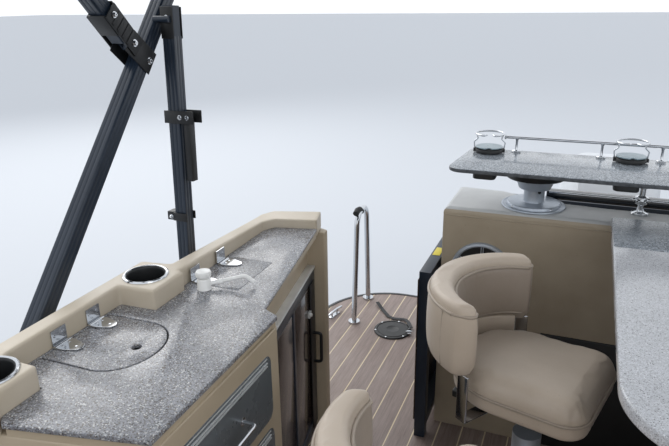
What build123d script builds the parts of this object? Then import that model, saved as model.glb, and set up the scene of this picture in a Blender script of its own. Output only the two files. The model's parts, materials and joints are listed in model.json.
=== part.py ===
from build123d import *
import math
import os

# Pontoon boat with a stern bar: lengths in millimetres, +Y to the bow, +X to starboard, +Z up.
# The origin is amidships on the centreline, at the bottom of the keels.
# Heights named "..._h" are measured up from the top of the deck.

os.makedirs("parts", exist_ok=True)

# Deck's plan
deck_half_width = 1280.0
deck_bow = 4000.0
deck_stern = -4000.0

# Hull
tube_radius = 330.0
tube_inset = 30.0
tube_spacing = deck_half_width - tube_inset - tube_radius
keel_drop = 15.0
keel_width = 50.0
tube_stern = deck_stern + 580.0
nose_start = deck_bow - 1100.0
tube_z = keel_drop + tube_radius
nose_sections = (  # forward of the nose's start, radius, lift of the centre
    (0.0, tube_radius, 0.0),
    (300.0, 312.0, 10.0),
    (560.0, 268.0, 42.0),
    (780.0, 200.0, 95.0),
    (930.0, 118.0, 155.0),
    (1010.0, 40.0, 200.0),
)
strake_size = 34.0
strake_angle = 50.0
strake_start = tube_stern + 420.0
riser_width = 180.0
riser_length = 90.0
riser_top = 710.0
beam_height = 68.0
beam_flange = 45.0
beam_wall = 5.0
beam_pitch = 406.0
beam_margin = 346.0
first_beam = deck_stern + beam_margin
beam_count = int((deck_bow - deck_stern - 2 * beam_margin) // beam_pitch) + 1
pod_width = 560.0
pod_stern = deck_stern - 430.0
pod_top = 665.0
transom_thickness = 50.0
eye_y = deck_bow - 55.0
eye_z = 560.0
eye_sheet = 12.0
eye_radius = 11.0

# Deck
deck_thickness = 22.0
deck_top = riser_top + beam_height + deck_thickness
stern_corner = 350.0
bow_corner = 640.0
trim_wall = 14.0
trim_height = 96.0
trim_lip = 3.0

# Fence
rail_size = 38.0
fence_h = 650.0
fence_x = deck_half_width - 40.0
fence_bow_y = deck_bow - 180.0
fence_stern_y = deck_stern + 115.0
fence_break_y = 900.0
fence_corner = 600.0
fence_stern_corner = 300.0
walkway_x = 585.0
walkway_front_y = -2901.0
fence_foot = 40.0
panel_sheet = 4.0
panel_margin = 30.0
post_slack = 1.0
bow_gate_half = 360.0
side_gate = (-130.0, 640.0)
gate_gap = 12.0
hinge_gap = 0.6
seat_gap = 0.3
galley_stern_y = -2860.0

# Galley at the starboard quarter
galley_h = 770.0
counter_sheet = 30.0
counter_h = galley_h + counter_sheet
rim_rise = 50.0
rim_h = counter_h + rim_rise
galley_outer_x = fence_x - 33.0
galley_front = (galley_outer_x - 435.0, -1730.0)
galley_front_outer = (galley_outer_x - 157.0, -1674.0)
step_y = -2215.0
door_start = (galley_outer_x - 338.0, -2352.0)
door_end = (galley_outer_x - 256.5, -2830.0)
door_top_h = galley_h - 120.0
door_foot_h = 70.0
door_depth = 24.0
frame_bar = 42.0
aft_outer_x = galley_outer_x - 89.0
cup_hole_radius = 46.0

# Bar
wall_h = 850.0
wall_front = -3010.0
wall_side = 556.0
wall_back = -3172.0
wall_recess = -3240.0
bar_stand = 125.0
bar_thickness = 25.0
bar_h = wall_h + bar_stand + bar_thickness
table_h = 870.0
table_thickness = 28.0
table_edge_x = 45.0
port_inner = 45.0 - fence_x
base_h = 440.0
base_edge_x = 212.0
pedestal_place = (281.0, -3117.0)
stanchion_place = (-40.0, -3130.0)

# Stools and captain's chair
stool_seat_h = 632.0
stool_seat_thickness = 105.0
stool_back_rise = 198.0
stool_back_h = stool_seat_h + stool_back_rise
stool_radius = 242.0
stool_back_thickness = 68.0
stool_rows = (  # node stem, place, turn of the back from starboard in degrees
    ("stool_aft", (200.0, -2450.0), -15.0),
    ("stool_forward", (262.0, -1850.0), 5.0),
)
chair_place = (785.0, -380.0)
chair_base_h = 400.0

# Bimini
bimini_x = fence_x + 52.0
bimini_tube = 44.0
bimini_base = (-1869.0, 650.0)
bimini_lean = 49.65
bimini_top_h = 2200.0
aux_along = 925.0
aux_rise = 47.0
aux_offset = 58.0
strut_x = fence_x
strut_tube = 36.0
strut_foot_place = (-2520.0, 672.0)
strut_head_place = (-2556.0, 1490.0)
clasp_along = 1039.7
clasp_side = 20.0
clasp_radius = 9.0
hinge_pin = 4.0
pin_gap = 0.05

# Outboard motor
tilt_y = pod_stern - 90.0
tilt_z = pod_top + 55.0
motor_rest_tilt = -60.0


def level(height):
    # a plane parallel to the deck, at a height above its top
    return Plane.XY.offset(deck_top + height)


def block(x, y, z, mode=Mode.ADD):
    # a box given by its limits along each axis, heights from the keel
    with Locations(((x[0] + x[1]) / 2, (y[0] + y[1]) / 2, (z[0] + z[1]) / 2)):
        Box(x[1] - x[0], y[1] - y[0], z[1] - z[0], mode=mode)


def deck_block(x, y, h, mode=Mode.ADD):
    # the same with heights from the deck
    block(x, y, (deck_top + h[0], deck_top + h[1]), mode)


def slab(points, low, high, mode=Mode.ADD):
    # a plate with a drawn outline between two heights above the deck
    with BuildSketch(level(low)) as plan:
        with BuildLine():
            Polyline(*points, close=True)
        make_face()
    extrude(plan.sketch, amount=high - low, mode=mode)


def rod(start, end, radius, mode=Mode.ADD):
    # a round bar from one point to another
    run = Vector(*end) - Vector(*start)
    with BuildSketch(Plane(origin=start, z_dir=run)) as section:
        Circle(radius)
    extrude(section.sketch, amount=run.length, mode=mode)


def disc(place, low, high, radius, mode=Mode.ADD):
    # an upright cylinder between two heights above the deck
    with BuildSketch(Plane(origin=(place[0], place[1], deck_top + low))) as section:
        Circle(radius)
    extrude(section.sketch, amount=high - low, mode=mode)


def pipe(points, bend, radius):
    # a bent round tube along corner points
    with BuildLine() as path:
        FilletPolyline(*points, radius=bend)
    with BuildSketch(Plane(origin=path.line @ 0, z_dir=path.line % 0)) as section:
        Circle(radius)
    sweep(section.sketch, path=path.line)


def cushion(x, y, low, high, corner, crown=18.0):
    # a soft pad: rounded outline with a rounded upper edge
    middle = ((x[0] + x[1]) / 2, (y[0] + y[1]) / 2, deck_top + low)
    with BuildSketch(Plane(origin=middle)) as outline:
        RectangleRounded(x[1] - x[0], y[1] - y[0], corner)
    pad = extrude(outline.sketch, amount=high - low)
    fillet(pad.faces().sort_by(Axis.Z)[-1].edges(), crown)


nodes = {}

# Pontoons: tube, raised nose, keel strip, lifting strakes and the saddles that carry the beams
beam_places = [first_beam + index * beam_pitch for index in range(beam_count)]
with BuildPart() as pontoons:
    for centre in (-tube_spacing, 0.0, tube_spacing):
        with BuildSketch(Plane(origin=(centre, tube_stern, tube_z), x_dir=(1, 0, 0), z_dir=(0, 1, 0))):
            Circle(tube_radius)
        extrude(amount=nose_start - tube_stern)
        for forward, radius, lift in nose_sections:
            place = (centre, nose_start + forward, tube_z + lift)
            with BuildSketch(Plane(origin=place, x_dir=(1, 0, 0), z_dir=(0, 1, 0))):
                Circle(radius)
        loft(ruled=True)
        strake_plane = Plane(origin=(centre, strake_start, tube_z), x_dir=(1, 0, 0), z_dir=(0, 1, 0))
        with BuildSketch(strake_plane):
            with PolarLocations(tube_radius, 2, start_angle=strake_angle, angular_range=160):
                RegularPolygon(strake_size, 3)
        extrude(amount=nose_start - strake_start)
        half_keel = keel_width / 2
        block((centre - half_keel, centre + half_keel), (tube_stern, nose_start), (0, 2 * keel_drop))
        for beam_y in beam_places:
            if tube_stern < beam_y - riser_length / 2 and beam_y < nose_start + 200:
                block(
                    (centre - riser_width / 2, centre + riser_width / 2),
                    (beam_y - riser_length / 2, beam_y + riser_length / 2),
                    (tube_z + 0.8 * tube_radius, riser_top),
                )
        if centre == 0:
            with BuildSketch(Plane.YZ.offset(-pod_width / 2)):
                with BuildLine():
                    Polyline(
                        (tube_stern + 60, riser_top - 8),
                        (deck_stern - 40, riser_top - 8),
                        (deck_stern - 90, pod_top),
                        (pod_stern, pod_top),
                        (pod_stern, 230),
                        (tube_stern + 60, 130),
                        close=True,
                    )
                make_face()
            extrude(amount=pod_width)
            block((-eye_sheet / 2, eye_sheet / 2), (eye_y - 200, eye_y + 34), (eye_z - 30, eye_z + 30))
            rod((-eye_sheet, eye_y, eye_z), (eye_sheet, eye_y, eye_z), eye_radius, Mode.SUBTRACT)
            block(
                (-pod_width / 2 - 15, pod_width / 2 + 15),
                (pod_stern - transom_thickness, pod_stern),
                (240, pod_top),
            )
nodes["pontoons"] = pontoons.part


def deck_half_at(y):
    # half the deck's width at a place along it, less at the rounded bow corners
    past = max(0.0, y - (deck_bow - bow_corner))
    return deck_half_width - bow_corner + math.sqrt(bow_corner**2 - past**2)


with BuildPart() as crossmembers:
    for beam_y in beam_places:
        beam_half = deck_half_at(beam_y + beam_flange) - 20
        low = riser_top
        high = riser_top + beam_height
        with BuildSketch(Plane.YZ.offset(-beam_half)):
            with BuildLine():
                Polyline(
                    (beam_y, low),
                    (beam_y + beam_flange, low),
                    (beam_y + beam_flange, low + beam_wall),
                    (beam_y + beam_wall, low + beam_wall),
                    (beam_y + beam_wall, high - beam_wall),
                    (beam_y + beam_flange, high - beam_wall),
                    (beam_y + beam_flange, high),
                    (beam_y, high),
                    close=True,
                )
            make_face()
        extrude(amount=2 * beam_half)
nodes["crossmembers"] = crossmembers.part


def deck_outline(grow):
    # the deck's plan, grown outwards by a margin
    width = 2 * (deck_half_width + grow)
    with Locations((0, (deck_bow + deck_stern) / 2)):
        Rectangle(width, deck_bow - deck_stern + 2 * grow)


def round_corners(sketch, grow):
    fillet(sketch.vertices().group_by(Axis.Y)[-1], bow_corner + grow)
    fillet(sketch.vertices().group_by(Axis.Y)[0], stern_corner + grow)


with BuildPart() as deck:
    with BuildSketch(level(-deck_thickness)) as plan:
        deck_outline(0)
        round_corners(plan, 0)
    extrude(amount=deck_thickness)
    socket_place = (-300.0, 2300.0)
    disc(socket_place, -deck_thickness, 0, 36.5, Mode.SUBTRACT)
nodes["deck"] = deck.part

with BuildPart() as deck_trim:
    with BuildSketch(level(trim_lip - trim_height)) as ring:
        deck_outline(trim_wall)
        round_corners(ring, trim_wall)
    extrude(amount=trim_height)
    with BuildSketch(level(trim_lip - trim_height)) as hole:
        deck_outline(0)
        round_corners(hole, 0)
    extrude(amount=trim_height, mode=Mode.SUBTRACT)
nodes["deck_trim"] = deck_trim.part


def fence_path(name, out):
    # the plan line of one run of fence, moved outwards by a margin
    side = fence_x + out
    bow = fence_bow_y + out
    stern = fence_stern_y - out
    paths = {
        "starboard": [(side, galley_stern_y), (side, fence_break_y)],
        "bow_starboard": [
            (side, fence_break_y + rail_size),
            (side, bow),
            (bow_gate_half + gate_gap, bow),
        ],
        "bow_port": [(-side, side_gate[1] + hinge_gap), (-side, bow), (-bow_gate_half - hinge_gap, bow)],
        "port": [(walkway_x + rail_size / 2, stern), (-side, stern), (-side, side_gate[0] - gate_gap)],
        "walkway": [
            (walkway_x + out, walkway_front_y),
            (walkway_x + out, fence_stern_y + rail_size / 2 + seat_gap),
        ],
    }
    return [(x, y, 0.0) for x, y in paths[name]]


def fence_line(name, out, height):
    # the run as a line at a height above the deck
    points = [(x, y, deck_top + height) for x, y, _ in fence_path(name, out)]
    if len(points) == 2:
        return Line(*points)
    corner = fence_stern_corner if name == "port" else fence_corner
    return FilletPolyline(*points, radius=corner + out)


def rail_along(name, out, height, width, depth):
    # a flat or square section swept along the run
    with BuildLine() as line:
        fence_line(name, out, height)
    start = line.line @ 0
    with BuildSketch(Plane(origin=start, x_dir=(0, 0, 1), z_dir=line.line % 0)) as section:
        Rectangle(depth, width)
    sweep(section.sketch, path=line.line)


fence_rows = (  # node, run, posts
    ("fence_sides", "starboard", 4),
    ("fence_sides", "port", 8),
    ("fence_bow", "bow_starboard", 4),
    ("fence_bow", "bow_port", 4),
    ("fence_stern", "walkway", 2),
)


def fence_frame(name, posts):
    # two rails along the run, with posts between them
    rail_along(name, 0, fence_h - rail_size / 2, rail_size, rail_size)
    rail_along(name, 0, fence_foot + rail_size / 2, rail_size, rail_size)
    with BuildLine(mode=Mode.PRIVATE) as line:
        fence_line(name, 0, 0)
    run = line.wires()[0]
    for index in range(posts):
        along = (rail_size / 2 + index * (run.length - rail_size) / (posts - 1)) / run.length
        with BuildSketch(Plane(origin=run @ along, x_dir=run % along, z_dir=(0, 0, 1))) as section:
            Rectangle(rail_size, rail_size - post_slack)
        extrude(section.sketch, amount=fence_h - 1)


def bimini_foot(side):
    # a shelf on the fence that carries a lug for the canopy's leg
    inner = side * (fence_x + rail_size / 2 - 1)
    low = fence_h - 26
    base = bimini_base[0]
    deck_block(tuple(sorted((inner, side * (bimini_x + 18)))), (base - 22, base + 35), (low, low + 12))
    lug = tuple(sorted((side * bimini_x - 5, side * bimini_x + 5)))
    deck_block(lug, (base - 14, base + 14), (low + 12, bimini_base[1] + 13))
    start = (side * bimini_x - 6, base, deck_top + bimini_base[1])
    rod(start, (start[0] + 12, start[1], start[2]), hinge_pin + pin_gap, Mode.SUBTRACT)
    strut_lug = tuple(sorted((side * strut_x - 5, side * strut_x + 5)))
    foot_y = strut_foot_place[0]
    foot_h = strut_foot_place[1]
    deck_block(strut_lug, (foot_y - 14, foot_y + 14), (fence_h - 1, foot_h + 13))
    start = (side * strut_x - 6, foot_y, deck_top + foot_h)
    rod(start, (start[0] + 12, start[1], start[2]), hinge_pin + pin_gap, Mode.SUBTRACT)


for node in ("fence_sides", "fence_bow", "fence_stern"):
    with BuildPart() as fence:
        for row_node, name, posts in fence_rows:
            if row_node == node:
                fence_frame(name, posts)
        if node == "fence_sides":
            bimini_foot(-1)
            bimini_foot(1)
    nodes[node] = fence.part

with BuildPart() as fence_panels:
    for _, name, _ in fence_rows:
        middle = (fence_h + fence_foot) / 2
        tall = fence_h - fence_foot - 2 * panel_margin
        rail_along(name, (rail_size + panel_sheet) / 2 + seat_gap, middle, panel_sheet, tall)
nodes["fence_panels"] = fence_panels.part


def gate(span, place):
    # a gate leaf: square frame, stands in the plane of the fence
    low, high = span
    half = rail_size / 2 - 1
    foot = fence_foot
    pieces = (  # limits along the leaf, heights
        ((low, high), (fence_h - rail_size, fence_h)),
        ((low, high), (foot, foot + rail_size)),
        ((low, low + rail_size), (foot, fence_h)),
        ((high - rail_size, high), (foot, fence_h)),
    )
    for along, height in pieces:
        if place == "bow":
            deck_block(along, (fence_bow_y - half, fence_bow_y + half), height)
        else:
            deck_block((-fence_x - half, -fence_x + half), along, height)


with BuildPart() as bow_gate:
    gate((-bow_gate_half, bow_gate_half), "bow")
    inner = bow_gate_half - rail_size + 1
    deck_block(
        (-inner, inner),
        (fence_bow_y - panel_sheet / 2, fence_bow_y + panel_sheet / 2),
        (fence_foot + rail_size - 1, fence_h - rail_size + 1),
    )
nodes["bow_gate"] = bow_gate.part

with BuildPart() as side_gate_leaf:
    gate(side_gate, "side")
    deck_block(
        (-fence_x - panel_sheet / 2, -fence_x + panel_sheet / 2),
        (side_gate[0] + rail_size - 1, side_gate[1] - rail_size + 1),
        (fence_foot + rail_size - 1, fence_h - rail_size + 1),
    )
nodes["side_gate"] = side_gate_leaf.part

# Galley
door_run = Vector(door_end[0] - door_start[0], door_end[1] - door_start[1])
door_length = door_run.length
door_dir = door_run.normalized()
door_out = Vector(door_dir.Y, -door_dir.X)
if door_out.X > 0:
    door_out = door_out * -1


def door_point(along, out):
    # a plan point measured along the doors from their forward end, and out towards the walkway
    spot = Vector(*door_start) + door_dir * along + door_out * out
    return (spot.X, spot.Y)


def door_plate(span, depth, height, mode=Mode.ADD):
    # a plate in the plane of the doors
    points = [
        door_point(span[0], depth[0]),
        door_point(span[1], depth[0]),
        door_point(span[1], depth[1]),
        door_point(span[0], depth[1]),
    ]
    slab(points, height[0], height[1], mode)


near_inner = galley_front[0] + 6
body_outline = (
    (near_inner, galley_front[1]),
    (galley_front_outer[0], galley_front_outer[1] - 6),
    (galley_outer_x, galley_front_outer[1] - 6),
    (galley_outer_x, -2255.0),
    (aft_outer_x, -2262.0),
    (aft_outer_x - 3, -2785.0),
    (aft_outer_x - 23, -2828.0),
    (galley_outer_x - 264, -2880.0),
    (galley_outer_x - 291, -2868.0),
    door_point(door_length, 36),
    door_point(door_length, -door_depth - seat_gap),
    door_point(-105, -door_depth - seat_gap),
    (near_inner, step_y),
)
drawer_y = (-2150.0, -1780.0)
drawer_rows = (  # node, low, high
    ("drawer_upper", galley_h - 210.0, galley_h - 24.0),
    ("drawer_lower", galley_h - 440.0, galley_h - 230.0),
)
drawer_depth = 240.0
drawer_wall = 10.0
aft_lid = ((galley_outer_x - 277, galley_outer_x - 145), (-2490.0, -2298.0))
basin_place = (galley_outer_x - 211, -2394.0)
basin_radius = 60.0
basin_depth = 120.0
bin_limits = (
    (galley_outer_x - 172, galley_outer_x - 57),
    (-2060.0, -1870.0),
    (galley_h - 350.0, galley_h + 1),
)

with BuildPart() as galley_body:
    slab(body_outline, 0, galley_h)
    for _, low, high in drawer_rows:
        deck_block((near_inner - 5, near_inner + drawer_depth), drawer_y, (low, high), Mode.SUBTRACT)
    door_plate((-10, door_length - 66), (-150, 10), (door_foot_h + 10, door_top_h - 60), Mode.SUBTRACT)
    deck_block(bin_limits[0], bin_limits[1], bin_limits[2], Mode.SUBTRACT)
    disc(basin_place, galley_h - basin_depth, galley_h + 1, basin_radius, Mode.SUBTRACT)
nodes["galley_body"] = galley_body.part

counter_rows = (  # in from the galley's outer side, y
    (139.0, -1690.0),
    (139.0, -1786.0),
    (44.0, -1790.0),
    (44.0, -2130.0),
    (145.0, -2134.0),
    (145.0, -2258.0),
    (129.0, -2262.0),
    (129.0, -2715.0),
    (151.0, -2757.0),
    (286.0, -2789.0),
    (388.0, -2233.0),
    (434.0, -2209.0),
)
counter_outline = [galley_front, galley_front_outer]
counter_outline += [(galley_outer_x - inset, y) for inset, y in counter_rows]
lid_centre = (galley_outer_x - 207.0, -1965.0)
lid_radius = 104.0
lid_hinge_x = galley_outer_x - 51.0
lid_gap = 1.5


def d_outline(grow):
    # the D-shaped lid: straight along its hinges, half round towards the walkway
    x, y = lid_centre
    edge = lid_hinge_x + grow
    radius = lid_radius + grow
    with BuildLine() as outline:
        Line((edge, y - radius), (edge, y + radius))
        Line((edge, y + radius), (x, y + radius))
        ThreePointArc((x, y + radius), (x - radius, y), (x, y - radius))
        Line((x, y - radius), (edge, y - radius))
    make_face(outline.line.edges())


with BuildPart() as galley_counter:
    slab(counter_outline, galley_h, counter_h)
    with BuildSketch(level(galley_h)):
        d_outline(0)
    extrude(amount=counter_h - galley_h, mode=Mode.SUBTRACT)
    deck_block(aft_lid[0], aft_lid[1], (galley_h, counter_h), Mode.SUBTRACT)
nodes["galley_counter"] = galley_counter.part

rim_outline = (
    (galley_outer_x - 154, -1670.0),
    (galley_outer_x + 2, -1670.0),
    (galley_outer_x + 2, -2279.0),
    (aft_outer_x + 6, -2290.0),
    (aft_outer_x + 2, -2787.0),
    (aft_outer_x - 20, -2832.0),
    (galley_outer_x - 264, -2880.0),
    (galley_outer_x - 286, -2790.0),
    (galley_outer_x - 150.7, -2757.5),
    (galley_outer_x - 128.7, -2715.0),
    (galley_outer_x - 128.7, -2261.7),
    (galley_outer_x - 144.7, -2257.7),
    (galley_outer_x - 144.7, -2134.3),
    (galley_outer_x - 43.7, -2130.3),
    (galley_outer_x - 43.7, -1789.7),
    (galley_outer_x - 138.7, -1785.7),
    (galley_outer_x - 138.7, -1690.0),
)
cup_places = ((galley_outer_x - 70, -1732.0), (galley_outer_x - 67, -2206.0))
with BuildPart() as galley_rim:
    slab(rim_outline, galley_h + 0.3, rim_h)
    for place in cup_places:
        disc(place, galley_h, rim_h, cup_hole_radius, Mode.SUBTRACT)
nodes["galley_rim"] = galley_rim.part

with BuildPart() as cup_liners:
    for place in cup_places:
        disc(place, rim_h + 0.2, rim_h + 4, cup_hole_radius + 9)
        disc(place, galley_h + 0.6, rim_h + 4, cup_hole_radius - 0.5)
        disc(place, galley_h + 4, rim_h + 5, cup_hole_radius - 3, Mode.SUBTRACT)
nodes["cup_liners"] = cup_liners.part

with BuildPart() as galley_lid:
    with BuildSketch(level(galley_h + seat_gap)):
        d_outline(-lid_gap)
    extrude(amount=counter_h - galley_h - seat_gap)
    disc((lid_centre[0] - 6, lid_centre[1] - 10), galley_h, counter_h, 11, Mode.SUBTRACT)
nodes["galley_lid"] = galley_lid.part

with BuildPart() as sink_lid:
    deck_block(
        (aft_lid[0][0] + lid_gap, aft_lid[0][1] - lid_gap),
        (aft_lid[1][0] + lid_gap, aft_lid[1][1] - lid_gap),
        (galley_h + seat_gap, counter_h),
    )
nodes["sink_lid"] = sink_lid.part

pull_y = (-2035.0, -1895.0)
pull_reach = 32.0
front_sheet = 8.0
for node, low, high in drawer_rows:
    with BuildPart() as drawer:
        gap = 6.0
        front = near_inner - 0.3
        x_range = (front, near_inner + drawer_depth - 10)
        y_range = (drawer_y[0] + gap, drawer_y[1] - gap)
        deck_block(x_range, y_range, (low + gap, high - gap))
        deck_block(
            (x_range[0] + drawer_wall, x_range[1] - drawer_wall),
            (y_range[0] + drawer_wall, y_range[1] - drawer_wall),
            (low + gap + drawer_wall, high),
            Mode.SUBTRACT,
        )
        deck_block((front - front_sheet, front), (drawer_y[0] - 8, drawer_y[1] + 8), (low - 4, high + 6))
        pull_z = deck_top + (low + high) / 2
        face = front - front_sheet + 1
        reach = face - pull_reach
        ends = [(face, pull_y[0]), (reach, pull_y[0]), (reach, pull_y[1]), (face, pull_y[1])]
        pipe([(x, y, pull_z) for x, y in ends], 14, 5)
    nodes[node] = drawer.part

with BuildPart() as galley_door_frame:
    door_plate((-60, door_length - 4), (-door_depth, 0), (door_top_h - frame_bar, door_top_h))
    door_plate((-60, door_length - 4), (-door_depth, 0), (30, door_foot_h))
    stiles = (
        (-60, -20),
        (door_length / 2 - 32, door_length / 2 - 12),
        (door_length - 60, door_length - 4),
    )
    for span in stiles:
        door_plate(span, (-door_depth, 0), (30, door_top_h))
nodes["galley_door_frame"] = galley_door_frame.part

door_rows = (  # node, from, to
    ("galley_door_fore", -20 + hinge_gap, door_length / 2 - 38),
    ("galley_door_aft", door_length / 2 - 12 + hinge_gap, door_length - 66),
)
door_slit = 6.0
for node, start, end in door_rows:
    with BuildPart() as leaf:
        door_plate(
            (start, end),
            (-door_depth + 2, -2),
            (door_foot_h + door_slit, door_top_h - frame_bar - door_slit),
        )
    nodes[node] = leaf.part

with BuildPart() as faucet:
    foot = (galley_outer_x - 192, -2264.0)
    disc(foot, counter_h + 0.2, counter_h + 52, 21)
    disc(foot, counter_h + 52, counter_h + 66, 25)
    x, y = foot
    spout_z = deck_top + counter_h + 36
    pipe(
        (
            (x, y, spout_z),
            (x - 60, y - 4, spout_z + 6),
            (x - 125, y - 10, spout_z + 8),
            (x - 134, y - 11, spout_z - 22),
        ),
        16,
        8,
    )
nodes["faucet"] = faucet.part

# Bar at the stern
wall_outline = (
    (wall_side, wall_front),
    (wall_side - 2, -3275.0),
    (391.0, -3265.0),
    (248.0, -3190.0),
    (50.0, wall_back),
    (-650.0, wall_back),
    (-800.0, wall_recess),
    (port_inner, wall_recess),
    (port_inner, wall_front),
)
speaker_place = (425.0, wall_h - 145.0)
speaker_radius = 82.0
with BuildPart() as bar_wall:
    slab(wall_outline, 0, wall_h)
    fillet(bar_wall.edges().group_by(Axis.Z)[-1], 22)
    deck_block((port_inner - 1, base_edge_x), (-3300, wall_front + 1), (-1, base_h), Mode.SUBTRACT)
    face = Plane(origin=(speaker_place[0], wall_front + 1, deck_top + speaker_place[1]), z_dir=(0, -1, 0))
    with BuildSketch(face):
        Circle(speaker_radius)
    extrude(amount=50, mode=Mode.SUBTRACT)
nodes["bar_wall"] = bar_wall.part

with BuildPart() as speaker:
    face = Plane(origin=(speaker_place[0], wall_front + 9, deck_top + speaker_place[1]), z_dir=(0, -1, 0))
    with BuildSketch(face):
        Circle(speaker_radius + 8)
    extrude(amount=8.7)
    with BuildSketch(face):
        Circle(speaker_radius - 0.5)
    extrude(amount=45)
nodes["speaker"] = speaker.part

with BuildPart() as bar_cabinets:
    deck_block((port_inner, base_edge_x - seat_gap), (wall_back, wall_front), (0, base_h - seat_gap))
    deck_block((port_inner, -800), (wall_recess, wall_back + 1), (0, base_h - seat_gap))
    deck_block((port_inner, -330), (-2990, -1990), (90, table_h - table_thickness - 0.3))
    deck_block((port_inner, -400), (-2940, -2040), (0, 90))
nodes["bar_cabinets"] = bar_cabinets.part

with BuildPart() as table_top:
    with BuildSketch(level(table_h - table_thickness)) as plan:
        with BuildLine():
            Polyline(
                (table_edge_x, wall_front + 1),
                (table_edge_x, -1900),
                (port_inner, -1900),
                (port_inner, wall_front + 1),
                close=True,
            )
        make_face()
        fillet(plan.vertices().sort_by_distance((table_edge_x, -1900))[0], 190)
    extrude(amount=table_thickness)
nodes["table_top"] = table_top.part

with BuildPart() as bar_top:
    with BuildSketch(level(bar_h - bar_thickness)) as plan:
        with BuildLine():
            Polyline((542, -2935), (512, -3250), (port_inner, -3250), (port_inner, -2935), close=True)
        make_face()
        fillet(plan.vertices().sort_by(Axis.X)[-2:], 45)
    extrude(amount=bar_thickness)
nodes["bar_top"] = bar_top.part

bar_under = bar_h - bar_thickness
pedestal_sections = (  # low, high, radius at the bottom, radius at the top
    (wall_h + 0.3, wall_h + 14, 88.0, 84.0),
    (wall_h + 14, bar_under - 65, 33.0, 33.0),
    (bar_under - 65, bar_under - 29, 50.0, 64.0),
    (bar_under - 29, bar_under - 0.3, 92.0, 100.0),
)
pedestal_spots = (pedestal_place, (-920.0, -3117.0))
with BuildPart() as bar_supports:
    for x, y in pedestal_spots:
        for low, high, foot_radius, head_radius in pedestal_sections:
            with BuildSketch(Plane(origin=(x, y, deck_top + low))):
                Circle(foot_radius)
            with BuildSketch(Plane(origin=(x, y, deck_top + high))):
                Circle(head_radius)
            loft()
    for low, high, radius in (
        (wall_h + 0.3, wall_h + 8, 26),
        (wall_h + 8, bar_under - 30, 8),
        (wall_h + 35, wall_h + 58, 19),
        (bar_under - 30, bar_under - 24, 27),
        (bar_under - 24, bar_under - 0.3, 40),
    ):
        disc(stanchion_place, low, high, radius)
nodes["bar_supports"] = bar_supports.part

cup_ring_places = ((457.0, -3175.0), (0.0, -3160.0))
arm_heading = Vector(0.93, 0.37, 0).normalized()
rail_feet = (361.0, 90.0, -88.0, -480.0, -900.0)
with BuildPart() as bar_rail:
    rail_y = -3222.0
    rail_z = deck_top + bar_h + 66
    for x in rail_feet:
        disc((x, rail_y), bar_h + 0.2, bar_h + 6, 15)
        disc((x, rail_y), bar_h + 6, bar_h + 66, 5)
    rod((395, rail_y, rail_z), (-1000, rail_y, rail_z), 7)
    for x, y in cup_ring_places:
        disc((x, y), bar_h + 0.3, bar_h + 14, 50)
        with BuildSketch(Plane(origin=(x + 51, y, deck_top + bar_h + 82), z_dir=(0, 1, 0))):
            Circle(4)
        revolve(axis=Axis((x, y, 0), (0, 0, 1)))
        for side in (-1, 1):
            foot = Vector(x, y, deck_top + bar_h + 8) + arm_heading * (side * 44)
            rod(foot, foot + arm_heading * (side * 7) + Vector(0, 0, 74), 3)
nodes["bar_rail"] = bar_rail.part

# Stools: a swivelling seat and wrap-round back on a fixed pedestal
seat_low = stool_seat_h - stool_seat_thickness
plate_h = seat_low - 12


def wrap_back(place, turn, spread, outer, wall, low, high):
    # a curved back: part of a ring about the seat
    inner = outer - wall
    middle = Plane(origin=(place[0], place[1], deck_top + low), x_dir=(1, 0, 0)).rotated((0, 0, turn))
    ends = [Vector(math.cos(math.radians(a)), math.sin(math.radians(a))) for a in (-spread, 0, spread)]
    with BuildSketch(middle) as plan:
        with BuildLine():
            ThreePointArc(*[v * inner for v in ends])
            Line(ends[2] * inner, ends[2] * outer)
            ThreePointArc(*[v * outer for v in reversed(ends)])
            Line(ends[0] * outer, ends[0] * inner)
        make_face()
    back = extrude(plan.sketch, amount=high - low)
    fillet(back.edges().group_by(Axis.Z)[-1], wall * 0.4)


back_low = stool_seat_h - 34
for stem, place, turn in stool_rows:
    x, y = place
    with BuildPart() as pads:
        with BuildSketch(Plane(origin=(x, y, deck_top + seat_low), x_dir=(1, 0, 0)).rotated((0, 0, turn))):
            with BuildLine():
                with Locations((-125, 112), (-125, -112)):
                    CenterArc((0, 0), 88, 0, 360)
                CenterArc((0, 0), 167, 0, 360)
            make_hull()
        pad = extrude(amount=stool_seat_thickness)
        fillet(pad.faces().sort_by(Axis.Z)[-1].edges(), 28)
        wrap_back(place, turn, 72, stool_radius, stool_back_thickness, back_low, stool_back_h)
    nodes[stem + "_pads"] = pads.part
    with BuildPart() as frame:
        disc(place, plate_h, seat_low - 0.3, 130)
        disc(place, plate_h - 60, plate_h, 42)
        middle = Plane(origin=(x, y, deck_top + plate_h), x_dir=(1, 0, 0)).rotated((0, 0, turn))
        for side in (-1, 1):
            with BuildSketch(middle):
                with Locations((105, side * 70)):
                    Rectangle(222, 34)
            extrude(amount=8)
            with BuildSketch(middle):
                with Locations((213, side * 70)):
                    Rectangle(6, 34)
            extrude(amount=back_low - plate_h - 0.3)
    nodes[stem + "_frame"] = frame.part

pedestal_top = plate_h - 60.3
with BuildPart() as seat_pedestals:
    for place in [row[1] for row in stool_rows] + [chair_place]:
        disc(place, 0.3, 12, 150)
        top = pedestal_top if place != chair_place else chair_base_h - 100 - seat_gap
        disc(place, 12, top, 36)
nodes["seat_pedestals"] = seat_pedestals.part

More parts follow.
